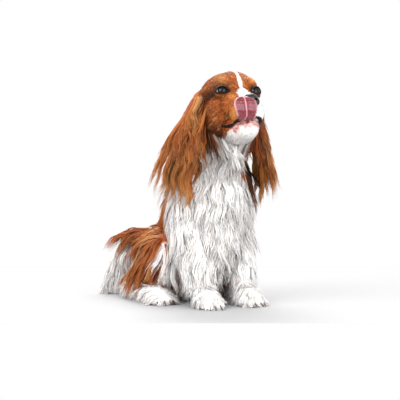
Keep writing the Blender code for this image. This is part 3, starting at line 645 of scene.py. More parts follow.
# The coat: closed three-sided tufts as one mesh
class Skin:
    """The skin's triangles, their areas, normals and unwrapped corners, to set roots on."""

    def __init__(self, obj):
        mesh = obj.data
        mesh.calc_loop_triangles()
        count = len(mesh.loop_triangles)
        corners = np.empty(count * 3, dtype=np.int32)
        mesh.loop_triangles.foreach_get("vertices", corners)
        loops = np.empty(count * 3, dtype=np.int32)
        mesh.loop_triangles.foreach_get("loops", loops)
        normals = np.empty(len(mesh.vertices) * 3, dtype=np.float32)
        mesh.vertices.foreach_get("normal", normals)
        flat = np.empty(len(mesh.loops) * 2, dtype=np.float32)
        mesh.uv_layers["unwrap"].data.foreach_get("uv", flat)
        self.places = places_of(mesh)[corners.reshape(-1, 3)]
        self.normals = normals.reshape(-1, 3)[corners.reshape(-1, 3)].astype(float)
        self.flat = flat.reshape(-1, 2)[loops.reshape(-1, 3)].astype(float)
        sides = self.places[:, 1:] - self.places[:, :1]
        self.areas = 0.5 * np.linalg.norm(np.cross(sides[:, 0], sides[:, 1]), axis=1)
        self.middles = self.places.mean(axis=1)
        self.facing = unit(self.normals.mean(axis=1))
        self.tree = tree_of(obj)

    def roots(self, wanted, count, draw):
        """Even random places where wanted is above zero, which also thins them."""
        chance = self.areas * np.clip(wanted(self.middles, self.facing), 0, None)
        picked = draw.choice(len(chance), size=count, p=chance / chance.sum())
        a, b = draw.random(count), draw.random(count)
        over = a + b > 1
        a[over], b[over] = 1 - a[over], 1 - b[over]
        shares = np.stack([1 - a - b, a, b], axis=1)[:, :, None]
        return (
            (self.places[picked] * shares).sum(axis=1),
            unit((self.normals[picked] * shares).sum(axis=1)),
            (self.flat[picked] * shares).sum(axis=1),
        )


def unit(vectors):
    """Vectors of length one."""
    return vectors / np.maximum(np.linalg.norm(vectors, axis=-1, keepdims=True), 1e-9)


def comb(skin, root, normal, coat, draw):
    """The line of one guiding lock: set out along the lie, then sagging, waving and lying over the body."""
    flow, steps = coat["flow"](root), coat["steps"]
    heading = (flow - normal * flow.dot(normal)).normalized() + normal * coat["rise"]
    length = draw.uniform(*coat["long"]) * coat["scale"](root)
    step = length / steps
    turns = length / coat["curl"]
    by_place, by_chance = WAVE_SPREAD
    phase = by_place * float(waves(np.array([root]), WAVE_PATCH, 7)[0]) + draw.uniform(0, by_chance)
    side = normal.cross(heading).normalized()
    place, before = root.copy(), math.sin(phase)
    line = [place.copy()]
    for i in range(1, steps + 1):
        heading = (heading + Vector((0, 0, -coat["sag"] / steps))).normalized()
        now = math.sin(phase + math.tau * turns * i / steps)
        place = place + heading * step + side * ((now - before) * coat["wave"] * i / steps)
        before = now
        least = coat["lift"] * min(1.0, 1.6 * i / steps)
        close, out, _, distance = skin.tree.find_nearest(place)
        if distance < least or (place - close).dot(out) < 0:
            place = close + out * least
        if place.z < FLOOR_Z + LOCK_CLEAR:
            place.z = FLOOR_Z + LOCK_CLEAR
            step *= FLOOR_DRAG
        line.append(place.copy())
    return line


def make_coat(name, skin, coat):
    """One piece of the coat. Hairs gather in locks round combed guiding lines."""
    draw = np.random.default_rng(coat["seed"])
    steps, count = coat["steps"], coat["count"]
    at, facing, _ = skin.roots(coat["where"], coat["guides"], draw)
    lines = np.array([comb(skin, Vector(p), Vector(n), coat, draw) for p, n in zip(at, facing)])
    flows = unit(np.array([coat["flow"](Vector(p)) for p in at]))
    reached = ((lines[:, -1] - lines[:, 0]) * flows).sum(axis=1)
    spans = np.linalg.norm(np.diff(lines, axis=1), axis=2).sum(axis=1)
    kept = reached > coat["true"] * spans
    at, lines = at[kept], lines[kept]
    roots, normals, flat = skin.roots(coat["where"], count, draw)
    lead = np.array([np.argmin(((at - root) ** 2).sum(axis=1)) for root in roots])
    share = np.linspace(0, 1, steps + 1)[None, :, None]
    length = draw.uniform(*TUFT_LENGTHS, count)[:, None, None]
    guide = lines[lead]
    reach = np.linspace(0, steps, steps + 1)[None, :] * length[:, :, 0]
    low = np.clip(reach.astype(int), 0, steps - 1)
    part = (reach - low)[:, :, None]
    rows = np.arange(count)[:, None]
    path = guide[rows, low] * (1 - part) + guide[rows, low + 1] * part
    gather = coat["gather"] * share**1.2
    line = path + (roots - at[lead])[:, None, :] * (1 - gather)
    line += draw.normal(size=(count, 1, 3)) * coat["frizz"] * share**1.5
    stray = draw.normal(size=(count, 1, 3)) * coat["frizz"] * 0.5
    line += stray * np.sin(share * 5 + draw.uniform(0, 6, (count, 1, 1))) * share
    line[:, 0] = roots - normals * coat["sink"]
    line[:, :, 2] = np.maximum(line[:, :, 2], FLOOR_Z + TUFT_CLEAR)
    ahead = unit(np.gradient(line, axis=1))
    across = unit(np.cross(ahead, normals[:, None, :]))
    upward = np.cross(across, ahead)
    taper = (0.55 + 0.9 * share * (1 - share) + 0.25 * (1 - share)) * (1 - share**3)
    width = draw.uniform(*TUFT_WIDTHS, count)[:, None, None] * coat["wide"] * taper * 0.5
    left, right, top = line - across * width, line + across * width, line + upward * width * coat["round"]
    rings = np.stack([left, top, right], axis=2)[:, :-1]
    points = np.concatenate([rings.reshape(count, steps * 3, 3), line[:, -1:]], axis=1)
    each = steps * 3 + 1
    along = np.concatenate([np.repeat(share[0, :-1, 0], 3), [1.0]])
    mesh = joined_mesh(name, points, tuft_faces(steps))
    values = dict(marks(roots), tone=draw.random(count), lock=draw.random(len(at))[lead])
    for key, value in values.items():
        store(mesh, key, np.repeat(value, each))
    store(mesh, "along", np.tile(along, count))
    spot = np.stack([np.tile([0.0, 0.5, 1.0], steps + 1)[:each], along], axis=1) - 0.5
    corners = (flat[:, None, :] + TUFT_PATCH * spot[None]).reshape(-1, 2)
    index = np.empty(len(mesh.loops), dtype=np.int32)
    mesh.loops.foreach_get("vertex_index", index)
    layer = mesh.uv_layers.new(name="OFBake")
    layer.data.foreach_set("uv", corners[index].astype(np.float32).ravel())
    obj = bpy.data.objects.new(name, mesh)
    bpy.context.scene.collection.objects.link(obj)
    mesh.materials.append(MATERIALS["coat"])
    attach(obj, "root")


def tuft_faces(steps):
    """The faces of one tuft: a root cap, sides and a pointed tip."""
    faces = [(0, 1, 2)]
    for i in range(steps - 1):
        for k in range(3):
            a, b = 3 * i + k, 3 * i + (k + 1) % 3
            faces.append((a, a + 3, b + 3, b))
    last, tip = 3 * (steps - 1), 3 * steps
    faces += [(last + k, tip, last + (k + 1) % 3) for k in range(3)]
    return faces


def joined_mesh(name, points, faces):
    """One mesh of many copies of the same faces over rows of points."""
    count, each = points.shape[:2]
    sizes = np.array([len(face) for face in faces], dtype=np.int32)
    corner = np.concatenate([np.array(face, dtype=np.int32) for face in faces])
    corners = (corner[None] + (np.arange(count, dtype=np.int32) * each)[:, None]).ravel()
    totals = np.tile(sizes, count)
    starts = np.concatenate([[0], np.cumsum(totals)[:-1]]).astype(np.int32)
    mesh = bpy.data.meshes.new(name)
    mesh.vertices.add(count * each)
    mesh.loops.add(len(corners))
    mesh.polygons.add(len(totals))
    mesh.vertices.foreach_set("co", points.astype(np.float32).ravel())
    mesh.loops.foreach_set("vertex_index", corners)
    mesh.polygons.foreach_set("loop_start", starts)
    mesh.polygons.foreach_set("loop_total", totals)
    mesh.update(calc_edges=True)
    return mesh


MATERIALS = {}
# Hair colours over a part of the tuft, each laid over the last by its share, the first over nothing
CHESTNUT = (
    ("along", 1.0, ((0.0, "#43150a"), (0.3, "#86380f"), (0.7, "#bd6423"), (1.0, "#eeb070"))),
    ("tone", 0.45, ((0.0, "#541c0a"), (0.6, "#ae521a"), (1.0, "#e8a860"))),
    ("lock", 0.5, ((0.0, "#380f05"), (0.45, "#984010"), (0.8, "#cc7a34"), (1.0, "#f2be80"))),
)
WHITE = (
    ("tone", 1.0, ((0.0, "#e4deda"), (0.5, "#f5f2ef"), (1.0, "#ffffff"))),
    ("lock", 0.4, ((0.0, "#ded7d1"), (0.4, "#f3efec"), (1.0, "#ffffff"))),
)
# The golden colour paints highlight on the brow and ears as well as golden hair; the dark fold colour paints
# shade between ear and neck and under the cheek as well as darker hair
GOLDEN_HAIR_AND_HIGHLIGHT, DARK_HAIR_AND_SHADE, BARE_LIP, LIP_BLACK = "#dc9448", "#240d06", "#b86f68", "#150a08"
IRIS = (
    (0.0, "#010101"), (0.25, "#010101"), (0.28, "#0c0503"), (0.46, "#190b06"), (0.53, "#040202"),
    (0.575, "#080404"), (0.64, "#b9aca4"), (1.0, "#b09a92"),
)
FLESH, FLESH_EDGE = ((0.30, "#4f0614"), (0.52, "#6e0f20"), (0.68, "#a33a49")), "#f0b4bd"
LEATHER = ((0.0, "#0e0c0d"), (1.0, "#030303"))
HORN = ((0.0, "#b9a392"), (0.6, "#5a4438"), (1.0, "#2a1d18"))
# Numbers that a coat's mesh stores
OF_THE_TUFT = ("along", "tone", "lock")
OF_THE_PLACE = ("white", "dark", "pink", "shade_and_dark_tone", "highlight_and_golden_tone")


def fur_colour(tree, parts):
    """Chestnut and white hair: darker at the root and golden at the tips, with painted shade between ear and
    neck and under the cheek, and painted golden highlight on the brow and ears.
    """
    hairs = []
    for ramps in (CHESTNUT, WHITE):
        layers = [
            (share, add_node(tree, "ShaderNodeValToRGB", {"Fac": parts[part]}, stops).outputs["Color"])
            for part, share, stops in ramps
        ]
        hairs.append(lay_over(tree, linear("#000000"), layers))
    red, pale = hairs
    return lay_over(tree, red, (
        (parts["highlight_and_golden_tone"], linear(GOLDEN_HAIR_AND_HIGHLIGHT)), (parts["shade_and_dark_tone"], linear(DARK_HAIR_AND_SHADE)), (parts["white"], pale),
        (parts["pink"], linear(BARE_LIP)), (parts["dark"], linear(LIP_BLACK)),
    ))


def lay_over(tree, colour, layers):
    """A colour with others laid over it in turn, each by its share."""
    for share, over in layers:
        mix = add_node(tree, "ShaderNodeMix", {0: share, 6: colour, 7: over}, data_type="RGBA")
        colour = mix.outputs[2]
    return colour


def new_material(piece, name, stored=(), **inputs):
    """A piece's material. Returns its tree and the numbers that its mesh stores under these names."""
    made = bpy.data.materials.new(name)
    made.use_nodes = True
    MATERIALS[piece] = made
    tree = made.node_tree
    feed(tree, tree.nodes["Principled BSDF"], {key.replace("_", " "): value for key, value in inputs.items()})
    parts = {key: add_node(tree, "ShaderNodeAttribute", attribute_name=key).outputs["Fac"] for key in stored}
    return tree, parts


def finish(tree, colour, height=None, strength=0.0, depth=0.0, invert=False):
    """Joins a colour to the surface shader, and a fine relief where there is one."""
    inputs = {"Base Color": colour}
    if height is not None:
        ridges = {"Strength": strength, "Distance": depth, "Height": height}
        inputs["Normal"] = add_node(tree, "ShaderNodeBump", ridges, invert=invert).outputs["Normal"]
    feed(tree, tree.nodes["Principled BSDF"], inputs)


def make_materials():
    """Every finish of the dog and the floor."""
    # Dog hair, living and silky: a satin gloss along the locks
    tree, parts = new_material(
        "coat", "silky_dog_hair", OF_THE_TUFT + OF_THE_PLACE, Roughness=0.5, Specular_IOR_Level=0.25
    )
    finish(tree, fur_colour(tree, parts))
    # Skin under the coat, bare only at the lips and lids: the grain of the shortest hair on it
    tree, parts = new_material("skin", "haired_skin", OF_THE_PLACE, Roughness=0.6, Specular_IOR_Level=0.2)
    place = add_node(tree, "ShaderNodeTexCoord").outputs["Object"]
    inputs = {"Scale": FUR_GRAINS, "Detail": 4.0, "Vector": place}
    grain = add_node(tree, "ShaderNodeTexNoise", inputs).outputs["Fac"]
    parts.update(dict.fromkeys(OF_THE_TUFT, grain))
    finish(tree, fur_colour(tree, parts), grain, 0.35, 0.0006)
    # Eye: dark brown iris round a black pupil under a wet cornea, white at the corner
    tree, parts = new_material("eye", "wet_eye", ("gaze",), Roughness=0.06, Specular_IOR_Level=0.3)
    finish(tree, add_node(tree, "ShaderNodeValToRGB", {"Fac": parts["gaze"]}, IRIS).outputs["Color"])
    # Nose leather: black, damp and pebbled, so its gloss is broken up
    tree, parts = new_material("nose", "damp_nose_leather", Roughness=0.32, Specular_IOR_Level=0.5)
    place = add_node(tree, "ShaderNodeTexCoord").outputs["Object"]
    inputs = {"Scale": NOSE_PEBBLES, "Vector": place}
    cells = add_node(tree, "ShaderNodeTexVoronoi", inputs, feature="F1").outputs["Distance"]
    black = add_node(tree, "ShaderNodeValToRGB", {"Fac": cells}, LEATHER).outputs["Color"]
    finish(tree, black, cells, 0.5, 0.0004, invert=True)
    # Tongue: wet flesh, crimson below with a pale line along the middle and pale edges
    tree, parts = new_material(
        "tongue", "wet_tongue", ("pale",), Roughness=0.3, Coat_Weight=0.35, Coat_Roughness=0.12,
        Subsurface_Weight=0.1, Subsurface_Radius=(0.004, 0.0012, 0.001),
    )
    place = add_node(tree, "ShaderNodeTexCoord").outputs["Object"]
    inputs = {"Scale": TONGUE_SPOTS, "Detail": 3.0, "Vector": place}
    spots = add_node(tree, "ShaderNodeTexNoise", inputs).outputs["Fac"]
    flesh = add_node(tree, "ShaderNodeValToRGB", {"Fac": spots}, FLESH).outputs["Color"]
    finish(tree, lay_over(tree, flesh, ((parts["pale"], linear(FLESH_EDGE)),)), spots, 0.6, 0.0006)
    # Claw: dark horn, smooth, paler at its root
    tree, parts = new_material("claw", "claw_horn", ("along",), Roughness=0.35)
    finish(tree, add_node(tree, "ShaderNodeValToRGB", {"Fac": parts["along"]}, HORN).outputs["Color"])
    # Studio floor: matt and pale
    new_material(
        "floor", "matt_white_floor", Roughness=0.75, Specular_IOR_Level=0.2, Base_Color=linear("#bcbcbd")
    )


def place_piece(obj, material, slot, *nodes):
    """Gives a piece its finish, hides the solids that it stands in for, and says what it rides on."""
    obj.data.materials.clear()
    obj.data.materials.append(MATERIALS[material])
    obj.data.shade_smooth()
    if nodes:
        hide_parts(*nodes)
    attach(obj, "root")


def finish_skin(obj):
    """Marks the skin like the coat and unwraps it."""
    layer = obj.data.uv_layers.new(name="unwrap")
    obj.data.uv_layers.active = layer
    bpy.context.view_layer.objects.active = obj
    obj.select_set(True)
    bpy.ops.object.mode_set(mode="EDIT")
    bpy.ops.mesh.select_all(action="SELECT")
    bpy.ops.uv.smart_project(angle_limit=math.radians(66), island_margin=0.002)
    bpy.ops.object.mode_set(mode="OBJECT")
    for name, values in marks(places_of(obj.data)).items():
        store(obj.data, name, values)
    place_piece(obj, "skin", "coat", *FLESH_NODES)


def painted_light_and_tone(points):
    """Painted shade and painted highlight of the chestnut coat at each place, mixed with darker and golden
    tone that varies at random.
    """
    x, y, z = points.T
    h = in_head(points)
    out = np.abs(h[:, 0])
    on_head = share_of_head(points)
    # dark: painted shade between ear and neck and low on the cheek, darker round and behind the eye, and
    # darker tone at random
    inner = soft_step(0.074 - np.abs(x), 0, 0.014) * soft_step(z, 0.19, 0.23)
    inner *= 1 - soft_step(z, 0.335, 0.350)
    inner *= soft_step(np.abs(x), 0.030, 0.036) * (0.55 + 0.45 * soft_step(x, -0.01, 0.01))
    low_cheek = on_head * soft_step(-h[:, 2], 0.030, 0.062) * soft_step(out, 0.012, 0.022)
    low_cheek *= soft_step(h[:, 1], -0.052, -0.030)
    eye = np.stack([out, h[:, 1], h[:, 2]], axis=1) - np.array(EYE_CENTRE)
    round_eye = on_head * near(eye / (1.0, 1.0, 0.85), (0, 0, 0), 0.0135, 0.0200)
    temple = on_head * 0.5 * near(eye, (0.012, 0.030, -0.004), 0.008, 0.024)
    shade_and_dark_tone = np.maximum.reduce([0.75 * inner * (1 - on_head), 0.62 * low_cheek, 0.45 * round_eye, temple])
    on_ear = (1 - on_head) * soft_step(np.abs(x), 0.060, 0.066) * soft_step(z, 0.22, 0.25)
    shade_and_dark_tone = np.clip(shade_and_dark_tone + 0.22 * waves(points, 0.030, 5) + 0.30 * on_ear * waves(points, 0.018, 9), 0, 0.9)
    shade_and_dark_tone = np.clip(shade_and_dark_tone + 0.22 * on_head * waves(points, 0.011, 10), 0, 0.9)
    # golden: painted highlight over the brow, painted highlight and golden tips down the outer ear, golden
    # tone on the flew and at random
    brow = on_head * near(eye, (-0.004, 0.004, 0.0185), 0.006, 0.016)
    flew = on_head * near(h, (-0.022, -0.074, -0.044), 0.010, 0.024)
    ear = on_ear * (0.12 + 0.58 * soft_step(0.335 - z, 0, 0.03)) * soft_step(np.abs(x), 0.070, 0.084)
    highlight_and_golden_tone = np.maximum.reduce([0.9 * brow, 0.6 * flew, ear]) * (0.8 + 0.2 * waves(points, 0.012, 6))
    highlight_and_golden_tone = highlight_and_golden_tone + 0.35 * (on_head + on_ear) * soft_step(waves(points, 0.012, 11), 0.2, 0.9)
    return shade_and_dark_tone, np.clip(highlight_and_golden_tone, 0, 1)


def marks(points):
    """Every share of the coat's colours at each place, by name."""
    return dict(zip(OF_THE_PLACE, (*markings(points), *painted_light_and_tone(points))))


def make_eyes():
    """Both eyeballs, each with its look to the dog's left and up."""
    for side, word in SIDES:
        bm = bmesh.new()
        bmesh.ops.create_uvsphere(bm, u_segments=48, v_segments=32, radius=1.0)
        gaze = Vector((side * math.sin(math.radians(EYE_TURN)) + GLANCE[0], -1.0, GLANCE[1])).normalized()
        gazes = []
        for vert in bm.verts:
            angle = math.acos(max(-1, min(1, vert.co.dot(gaze))))
            gazes.append(angle / math.radians(IRIS_REACH))
            vert.co *= EYE_RADIUS * (1.0 + CORNEA_BULGE * held(1 - (angle / math.radians(CORNEA_REACH)) ** 2))
        place = head_matrix() @ Matrix.Translation(on_side(EYE_CENTRE, side))
        bmesh.ops.transform(bm, matrix=place, verts=bm.verts)
        eye = object_of(bm, f"eyeball_{word}")
        store(eye.data, "gaze", gazes)
        place_piece(eye, "eye", "eye", f"eye_{word}")


def make_nose():
    """The nose leather with its nostrils and the groove below them."""
    bm = bmesh.new()
    add_forms(bm, NOSE_FORMS, head_matrix())
    nose = object_of(bm, "nose_leather")
    one_skin(nose, NOSE_VOXEL, 4)
    centre, radii = NOSTRIL
    for side, _ in SIDES:
        boolean(nose, ball_object(on_side(centre, side), radii, 24), "DIFFERENCE")
        slit = smooth_line([on_side(p, side) for p in NOSTRIL_SLIT], 4)
        boolean(nose, tube([head_matrix() @ p for p in slit], NOSTRIL_SLIT_RADIUS), "DIFFERENCE")
    place_piece(nose, "nose", "nose_leather", "nose")


def make_tongue():
    """The tongue, out over the lower lip and curled up on the nose, its underside ahead."""
    bm = bmesh.new()
    for start, end in zip(TONGUE, TONGUE[1:]):
        for i in range(TONGUE_BEADS):
            x, y, z, wide, thick = (a + (b - a) * i / TONGUE_BEADS for a, b in zip(start, end))
            lean = math.atan2(end[1] - start[1], end[2] - start[2])
            place = head_matrix() @ Matrix.Translation((x, y, z)) @ Matrix.Rotation(-lean, 4, "X")
            add_sphere(bm, place @ Matrix.Diagonal((wide, thick, 0.0040, 1.0)), 32, 12)
    tongue = object_of(bm, "licking_tongue")
    one_skin(tongue, TONGUE_VOXEL, 6)
    h = in_head(places_of(tongue.data))
    line = np.array(TONGUE)
    middle = np.interp(h[:, 2], line[3:, 2], line[3:, 0])
    half = np.interp(h[:, 2], line[3:, 2], line[3:, 3])
    off = np.abs(h[:, 0] - middle)
    ridge = np.exp(-((off / 0.0009) ** 2))
    groove = np.exp(-((off / 0.0032) ** 2))
    edge_roll = np.exp(-((off / half - 0.90) / 0.10) ** 2)
    rim = soft_step(off / half, 0.80, 0.97)
    rise, sink, roll = TONGUE_RELIEF
    bm = bmesh.new()
    bm.from_mesh(tongue.data)
    bm.verts.ensure_lookup_table()
    for i, vert in enumerate(bm.verts):
        vert.co += vert.normal * float(rise * ridge[i] - sink * groove[i] + roll * edge_roll[i])
    bm.to_mesh(tongue.data)
    bm.free()
    store(tongue.data, "pale", np.clip(0.70 * ridge + 0.60 * rim, 0, 1))
    place_piece(tongue, "tongue", "tongue", "tongue")


def make_claws():
    """Four claws on each paw."""
    bm = bmesh.new()
    grown = []
    for x, y in PAWS:
        for out, ahead, radius in TOES:
            for side, _ in SIDES:
                base = Vector((side * (x + out), y - ahead - 1.05 * radius, radius * 0.85))
                reach = Vector((side * out * 0.1, -CLAW_REACH[0], -CLAW_REACH[1]))
                tip = base + reach
                turn = (tip - base).to_track_quat("Z", "Y").to_matrix().to_4x4()
                made = bmesh.ops.create_cone(
                    bm, cap_ends=True, segments=12, radius1=CLAW_RADII[0], radius2=CLAW_RADII[1],
                    depth=(tip - base).length * 1.5, matrix=Matrix.Translation((base + tip) / 2) @ turn,
                )
                ahead_of_base = (tip - base).normalized()
                grown += [(vert.co - base).dot(ahead_of_base) / CLAW_DARK for vert in made["verts"]]
    claws = object_of(bm, "claws")
    store(claws.data, "along", np.clip(grown, 0, 1))
    place_piece(claws, "claw", "coat")


def head_flow(root):
    """The lie of the short coat: away from the nose, over the skull and down the cheeks."""
    h = Vector(in_head(np.array([root]))[0])
    away = (h - Vector((0, -0.105, -0.020))).normalized()
    away.z -= 0.35 * held((abs(h.x) - 0.015) / 0.02)
    over_lip = held(1 - abs(h.z + 0.052) / 0.016) * held((-h.y - 0.03) / 0.02)
    away = away.lerp(Vector((0.2 * h.x / max(abs(h.x), 1e-4), 1, 0.12)), over_lip)
    return head_matrix().to_3x3() @ away


def head_scale(root):
    """How long the head's short coat is: least on the muzzle, more on the cheeks and nape."""
    h = in_head(np.array([root]))
    muzzle = held((-h[0, 1] - 0.035) / 0.03)
    cheek = held((-h[0, 2] - 0.030) / 0.03) * (1 - muzzle)
    nape = held((h[0, 1] - 0.015) / 0.03)
    lips = float(soft_step(to_either(h, LIP_LINE), 0.004, 0.020)[0])
    pink = float(lower_lip(h)[0])
    return (0.9 - 0.45 * muzzle + 1.1 * cheek + 0.9 * nape) * (0.35 + 0.65 * lips) * (1 - 0.6 * pink)


def between(values, low, high):
    """Where values are above low and below high."""
    return (values > low) * (values < high)


def on_ear(p, side):
    """How far places belong to one ear's leather."""
    reach = distance_to_line(p * (side, 1, 1), EAR_MIDDLE)
    return (1 - soft_step(reach, 0.030, 0.036)) * soft_step(side * p[:, 0], 0.052, 0.057)


def off_ears(p):
    """How far places are clear of both ears."""
    return 1 - np.maximum(on_ear(p, 1), on_ear(p, -1))


def on_body(p):
    """How far places are off the head and the ears."""
    return (1 - share_of_head(p)) * off_ears(p)


def on_tail(p):
    """Where places are on the tail's flesh."""
    return distance_to_line(p, TAIL_LINE) < 0.022


def haired(p):
    """How far places of the head have hair: less on the lips and the lids' rims."""
    _, dark, pink = markings(p)
    return (1 - soft_step(dark, 0.6, 0.9)) * (1 - 0.9 * np.clip(1.6 * pink, 0, 1))


def make_coats(skin):
    """Every piece of the coat: where it grows and how its locks lie, from the places and normals of roots.

    A lock starts along the flow, tipped off the skin by rise, and bends down by sag. It waves sideways by
    wave, once over each curl, and stays lift off the skin. Locks that end too short of the flow, by true,
    are left out. A tuft gathers towards its lock, strays by frizz, and starts sink under the skin.
    """
    common = dict(rise=0.15, sink=0.001, scale=lambda r: 1.0, curl=0.05, true=0.25, round=0.5)
    coats = {}
    for side, word in SIDES:
        coats[f"coat_ear_{word}"] = dict(
            seed=20 + side, count=3000, guides=150, steps=7, long=(0.080, 0.122), wide=0.0026, true=0.84,
            where=lambda p, n, s=side: on_ear(p, s) * soft_step(s * n[:, 0], -0.2, 0.1) * (n[:, 2] > -0.5),
            flow=lambda r, s=side: Vector((EAR_SPREAD[s] * s, 4.5 * (r.y + 0.192), -1)),
            scale=lambda r: 0.62 + 0.38 * held((0.395 - r.z) / 0.07),
            sag=0.7, wave=0.0075, curl=0.044, lift=0.010, gather=0.80, frizz=0.0020,
        )
        coats[f"coat_foreleg_{word}"] = dict(
            seed=30 + side, count=3900, guides=300, steps=4, long=(0.026, 0.046), wide=0.0026, true=0.5,
            where=lambda p, n, s=side: (s * p[:, 0] > 0.004) * (p[:, 1] < -0.135) * (n[:, 2] > -0.6)
            * between(p[:, 2], 0.004, 0.135),
            flow=lambda r: Vector((0, 0.35 if r.y > -0.19 else -0.15, -1)),
            scale=lambda r: 0.55 + 0.70 * held((r.y + 0.215) / 0.04) * min(1.0, r.z / 0.05),
            sag=0.5, wave=0.0015, lift=0.003, gather=0.55, frizz=0.0014, round=0.3,
        )
        coats[f"coat_hindleg_{word}"] = dict(
            seed=40 + side, count=3300, guides=380, steps=5, long=(0.036, 0.060), wide=0.0020,
            where=lambda p, n, s=side: (s * p[:, 0] > 0.030) * between(p[:, 1], -0.150, 0.06)
            * between(p[:, 2], 0.004, 0.170),
            flow=lambda r: Vector((0, 0.55, -1)), scale=lambda r: 0.40 + 0.75 * held((r.z - 0.012) / 0.05),
            sag=0.6, wave=0.0035, lift=0.005, gather=0.6, frizz=0.0018,
        )
        coats[f"coat_chest_{word}"] = dict(
            seed=50 + side, count=3500, guides=170, steps=6, long=(0.055, 0.088), wide=0.0042,
            where=lambda p, n, s=side: (s * p[:, 0] > 0) * (p[:, 1] < -0.120) * (n[:, 1] < 0.35)
            * between(p[:, 2], 0.085, 0.325) * on_body(p),
            flow=lambda r: Vector((1.5 * r.x, -0.1, -1)),
            sag=0.8, wave=0.0060, lift=0.007, gather=0.42, frizz=0.0014, round=0.25,
        )
        coats[f"coat_head_{word}"] = dict(
            seed=60 + side, count=13500, guides=3000, steps=2, long=(0.0075, 0.0120), wide=0.0009, true=0.2,
            where=lambda p, n, s=side: (s * p[:, 0] > 0) * share_of_head(p) * off_ears(p) * haired(p),
            flow=head_flow, scale=head_scale,
            sag=0.25, wave=0.0, lift=0.0005, gather=0.3, frizz=0.0004, sink=0.0006, rise=0.06,
        )
    coats["coat_back"] = dict(
        seed=70, count=5000, guides=640, steps=5, long=(0.034, 0.052), wide=0.0021,
        where=lambda p, n: (p[:, 1] > -0.155) * (p[:, 2] > 0.006) * (np.abs(p[:, 0]) < 0.13)
        * (n[:, 2] > -0.75) * ((p[:, 2] > 0.12) | (np.abs(p[:, 0]) < 0.045) & (p[:, 1] > -0.02)) * on_body(p),
        flow=lambda r: Vector((0, 0.6, -1)), sag=0.4, wave=0.0028, lift=0.004, gather=0.6, frizz=0.0018,
    )
    coats["coat_neck"] = dict(
        seed=80, count=4200, guides=420, steps=5, long=(0.042, 0.062), wide=0.0028,
        where=lambda p, n: (1 + 1.5 * (p[:, 1] < -0.20)) * between(p[:, 2], 0.27, 0.385) * on_body(p),
        flow=lambda r: Vector((2.0 * r.x + (9.0 * (r.x - 0.016) if r.x > 0.016 else 0), 0.1, -1)),
        scale=lambda r: 1.0 + 0.5 * held((r.x - 0.016) / 0.02),
        sag=0.6, wave=0.0030, lift=0.006, gather=0.45, frizz=0.0018, round=0.3,
    )
    coats["coat_under_ear"] = dict(
        seed=26, count=800, guides=70, steps=6, long=(0.060, 0.090), wide=0.0030, rise=0.05, true=0.9,
        where=lambda p, n: (p[:, 0] > 0.029) * between(p[:, 1], -0.225, -0.165)
        * between(p[:, 2], 0.290, 0.350) * on_body(p),
        flow=lambda r: Vector((0.45, 0.05, -1)),
        sag=0.8, wave=0.0040, curl=0.046, lift=0.006, gather=0.55, frizz=0.0014,
    )
    coats["coat_throat_tuft"] = dict(
        seed=27, count=800, guides=70, steps=6, long=(0.034, 0.054), wide=0.0036, rise=0.35, true=0.6,
        where=lambda p, n: between(p[:, 0], -0.050, -0.010) * (p[:, 1] < -0.180)
        * between(p[:, 2], 0.280, 0.326) * on_body(p),
        flow=lambda r: Vector((-0.30, -0.45, -1)),
        sag=0.7, wave=0.0030, curl=0.032, lift=0.014, gather=0.40, frizz=0.0018, round=0.2,
    )
    coats["coat_tail"] = dict(
        seed=90, count=2600, guides=220, steps=6, long=(0.045, 0.070), wide=0.0021, rise=0.45, true=0.2,
        where=lambda p, n: soft_step(p[:, 1], 0.024, 0.03) * between(p[:, 0], -0.12, 0.05) * (p[:, 2] > 0.012)
        * on_tail(p),
        flow=lambda r: Vector((-0.45, 0.35, -0.8)), scale=lambda r: 1.0 - 0.6 * held((r.z - 0.104) / 0.012),
        sag=1.2, wave=0.0045, lift=0.004, gather=0.6, frizz=0.0024,
    )
    coats["coat_tail_wisp"] = dict(
        seed=95, count=300, guides=22, steps=7, long=(0.058, 0.078), wide=0.0019, rise=0.5, true=-1.0,
        where=lambda p, n: (p[:, 0] < 0.02) * (p[:, 1] > 0.030) * (p[:, 2] > 0.109) * on_tail(p),
        flow=lambda r: Vector((-0.55, 0.25, 0.55)),
        sag=2.3, wave=0.002, lift=0.004, gather=0.7, frizz=0.0016,
    )
    for name, coat in coats.items():
        make_coat(name, skin, {**common, **coat})


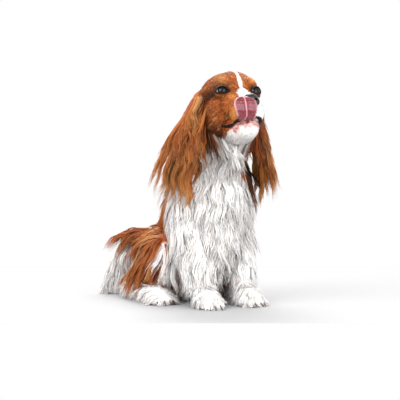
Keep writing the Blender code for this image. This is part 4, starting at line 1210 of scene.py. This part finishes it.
def make_stage():
    """A pale floor, a white surround and soft studio light."""
    bm = bmesh.new()
    bmesh.ops.create_grid(bm, x_segments=1, y_segments=1, size=0.5)
    a = math.radians(CAMERA_AZIMUTH)
    turn = Matrix.Rotation(a, 4, "Z")
    size = Matrix.Diagonal((*FLOOR_SIZE, 1.0, 1.0))
    middle = CAMERA_TARGET + turn @ Vector((0, FLOOR_AHEAD, 0))
    middle.z = FLOOR_Z
    bmesh.ops.transform(bm, matrix=Matrix.Translation(middle) @ turn @ size, verts=bm.verts)
    floor = object_of(bm, "studio_floor")
    floor.data.materials.append(MATERIALS["floor"])
    world = bpy.data.worlds.new("white_surround")
    world.use_nodes = True
    world.node_tree.nodes["Background"].inputs["Color"].default_value = (1, 1, 1, 1)
    world.node_tree.nodes["Background"].inputs["Strength"].default_value = 1.0
    bpy.context.scene.world = world
    for name, azimuth, height, reach, size, power in SOFTBOXES:
        light = bpy.data.lights.new(name, "AREA")
        light.size = size
        light.energy = power
        lamp = bpy.data.objects.new(name, light)
        bpy.context.scene.collection.objects.link(lamp)
        spin = math.radians(azimuth)
        lamp.location = Vector((reach * math.sin(spin), -reach * math.cos(spin) + CAMERA_TARGET.y, height))
        lamp.rotation_mode = "QUATERNION"
        lamp.rotation_quaternion = (CAMERA_TARGET - lamp.location).to_track_quat("-Z", "Y")


def make_camera():
    """The photo's viewpoint."""
    a, e = math.radians(CAMERA_AZIMUTH), math.radians(CAMERA_ELEVATION)
    back = Vector((math.sin(a) * math.cos(e), -math.cos(a) * math.cos(e), math.sin(e)))
    data = bpy.data.cameras.new("photo_camera")
    data.sensor_width = 36.0
    data.lens = data.sensor_width * FOCAL_PIXELS / PHOTO_SIZE
    data.shift_x = (PHOTO_SIZE / 2 - PRINCIPAL_POINT[0]) / PHOTO_SIZE
    data.shift_y = (PRINCIPAL_POINT[1] - PHOTO_SIZE / 2) / PHOTO_SIZE
    camera = bpy.data.objects.new("photo_camera", data)
    bpy.context.scene.collection.objects.link(camera)
    camera.location = CAMERA_TARGET + back * CAMERA_DISTANCE
    camera.rotation_mode = "QUATERNION"
    camera.rotation_quaternion = (-back).to_track_quat("-Z", "Y")
    bpy.context.scene.camera = camera


def main():
    """The whole scene."""
    bpy.context.scene.view_settings.view_transform = "Standard"
    make_materials()
    make_camera()
    make_stage()
    skin_object = make_skin()
    finish_skin(skin_object)
    make_coats(Skin(skin_object))
    make_eyes()
    make_nose()
    make_tongue()
    make_claws()


main()
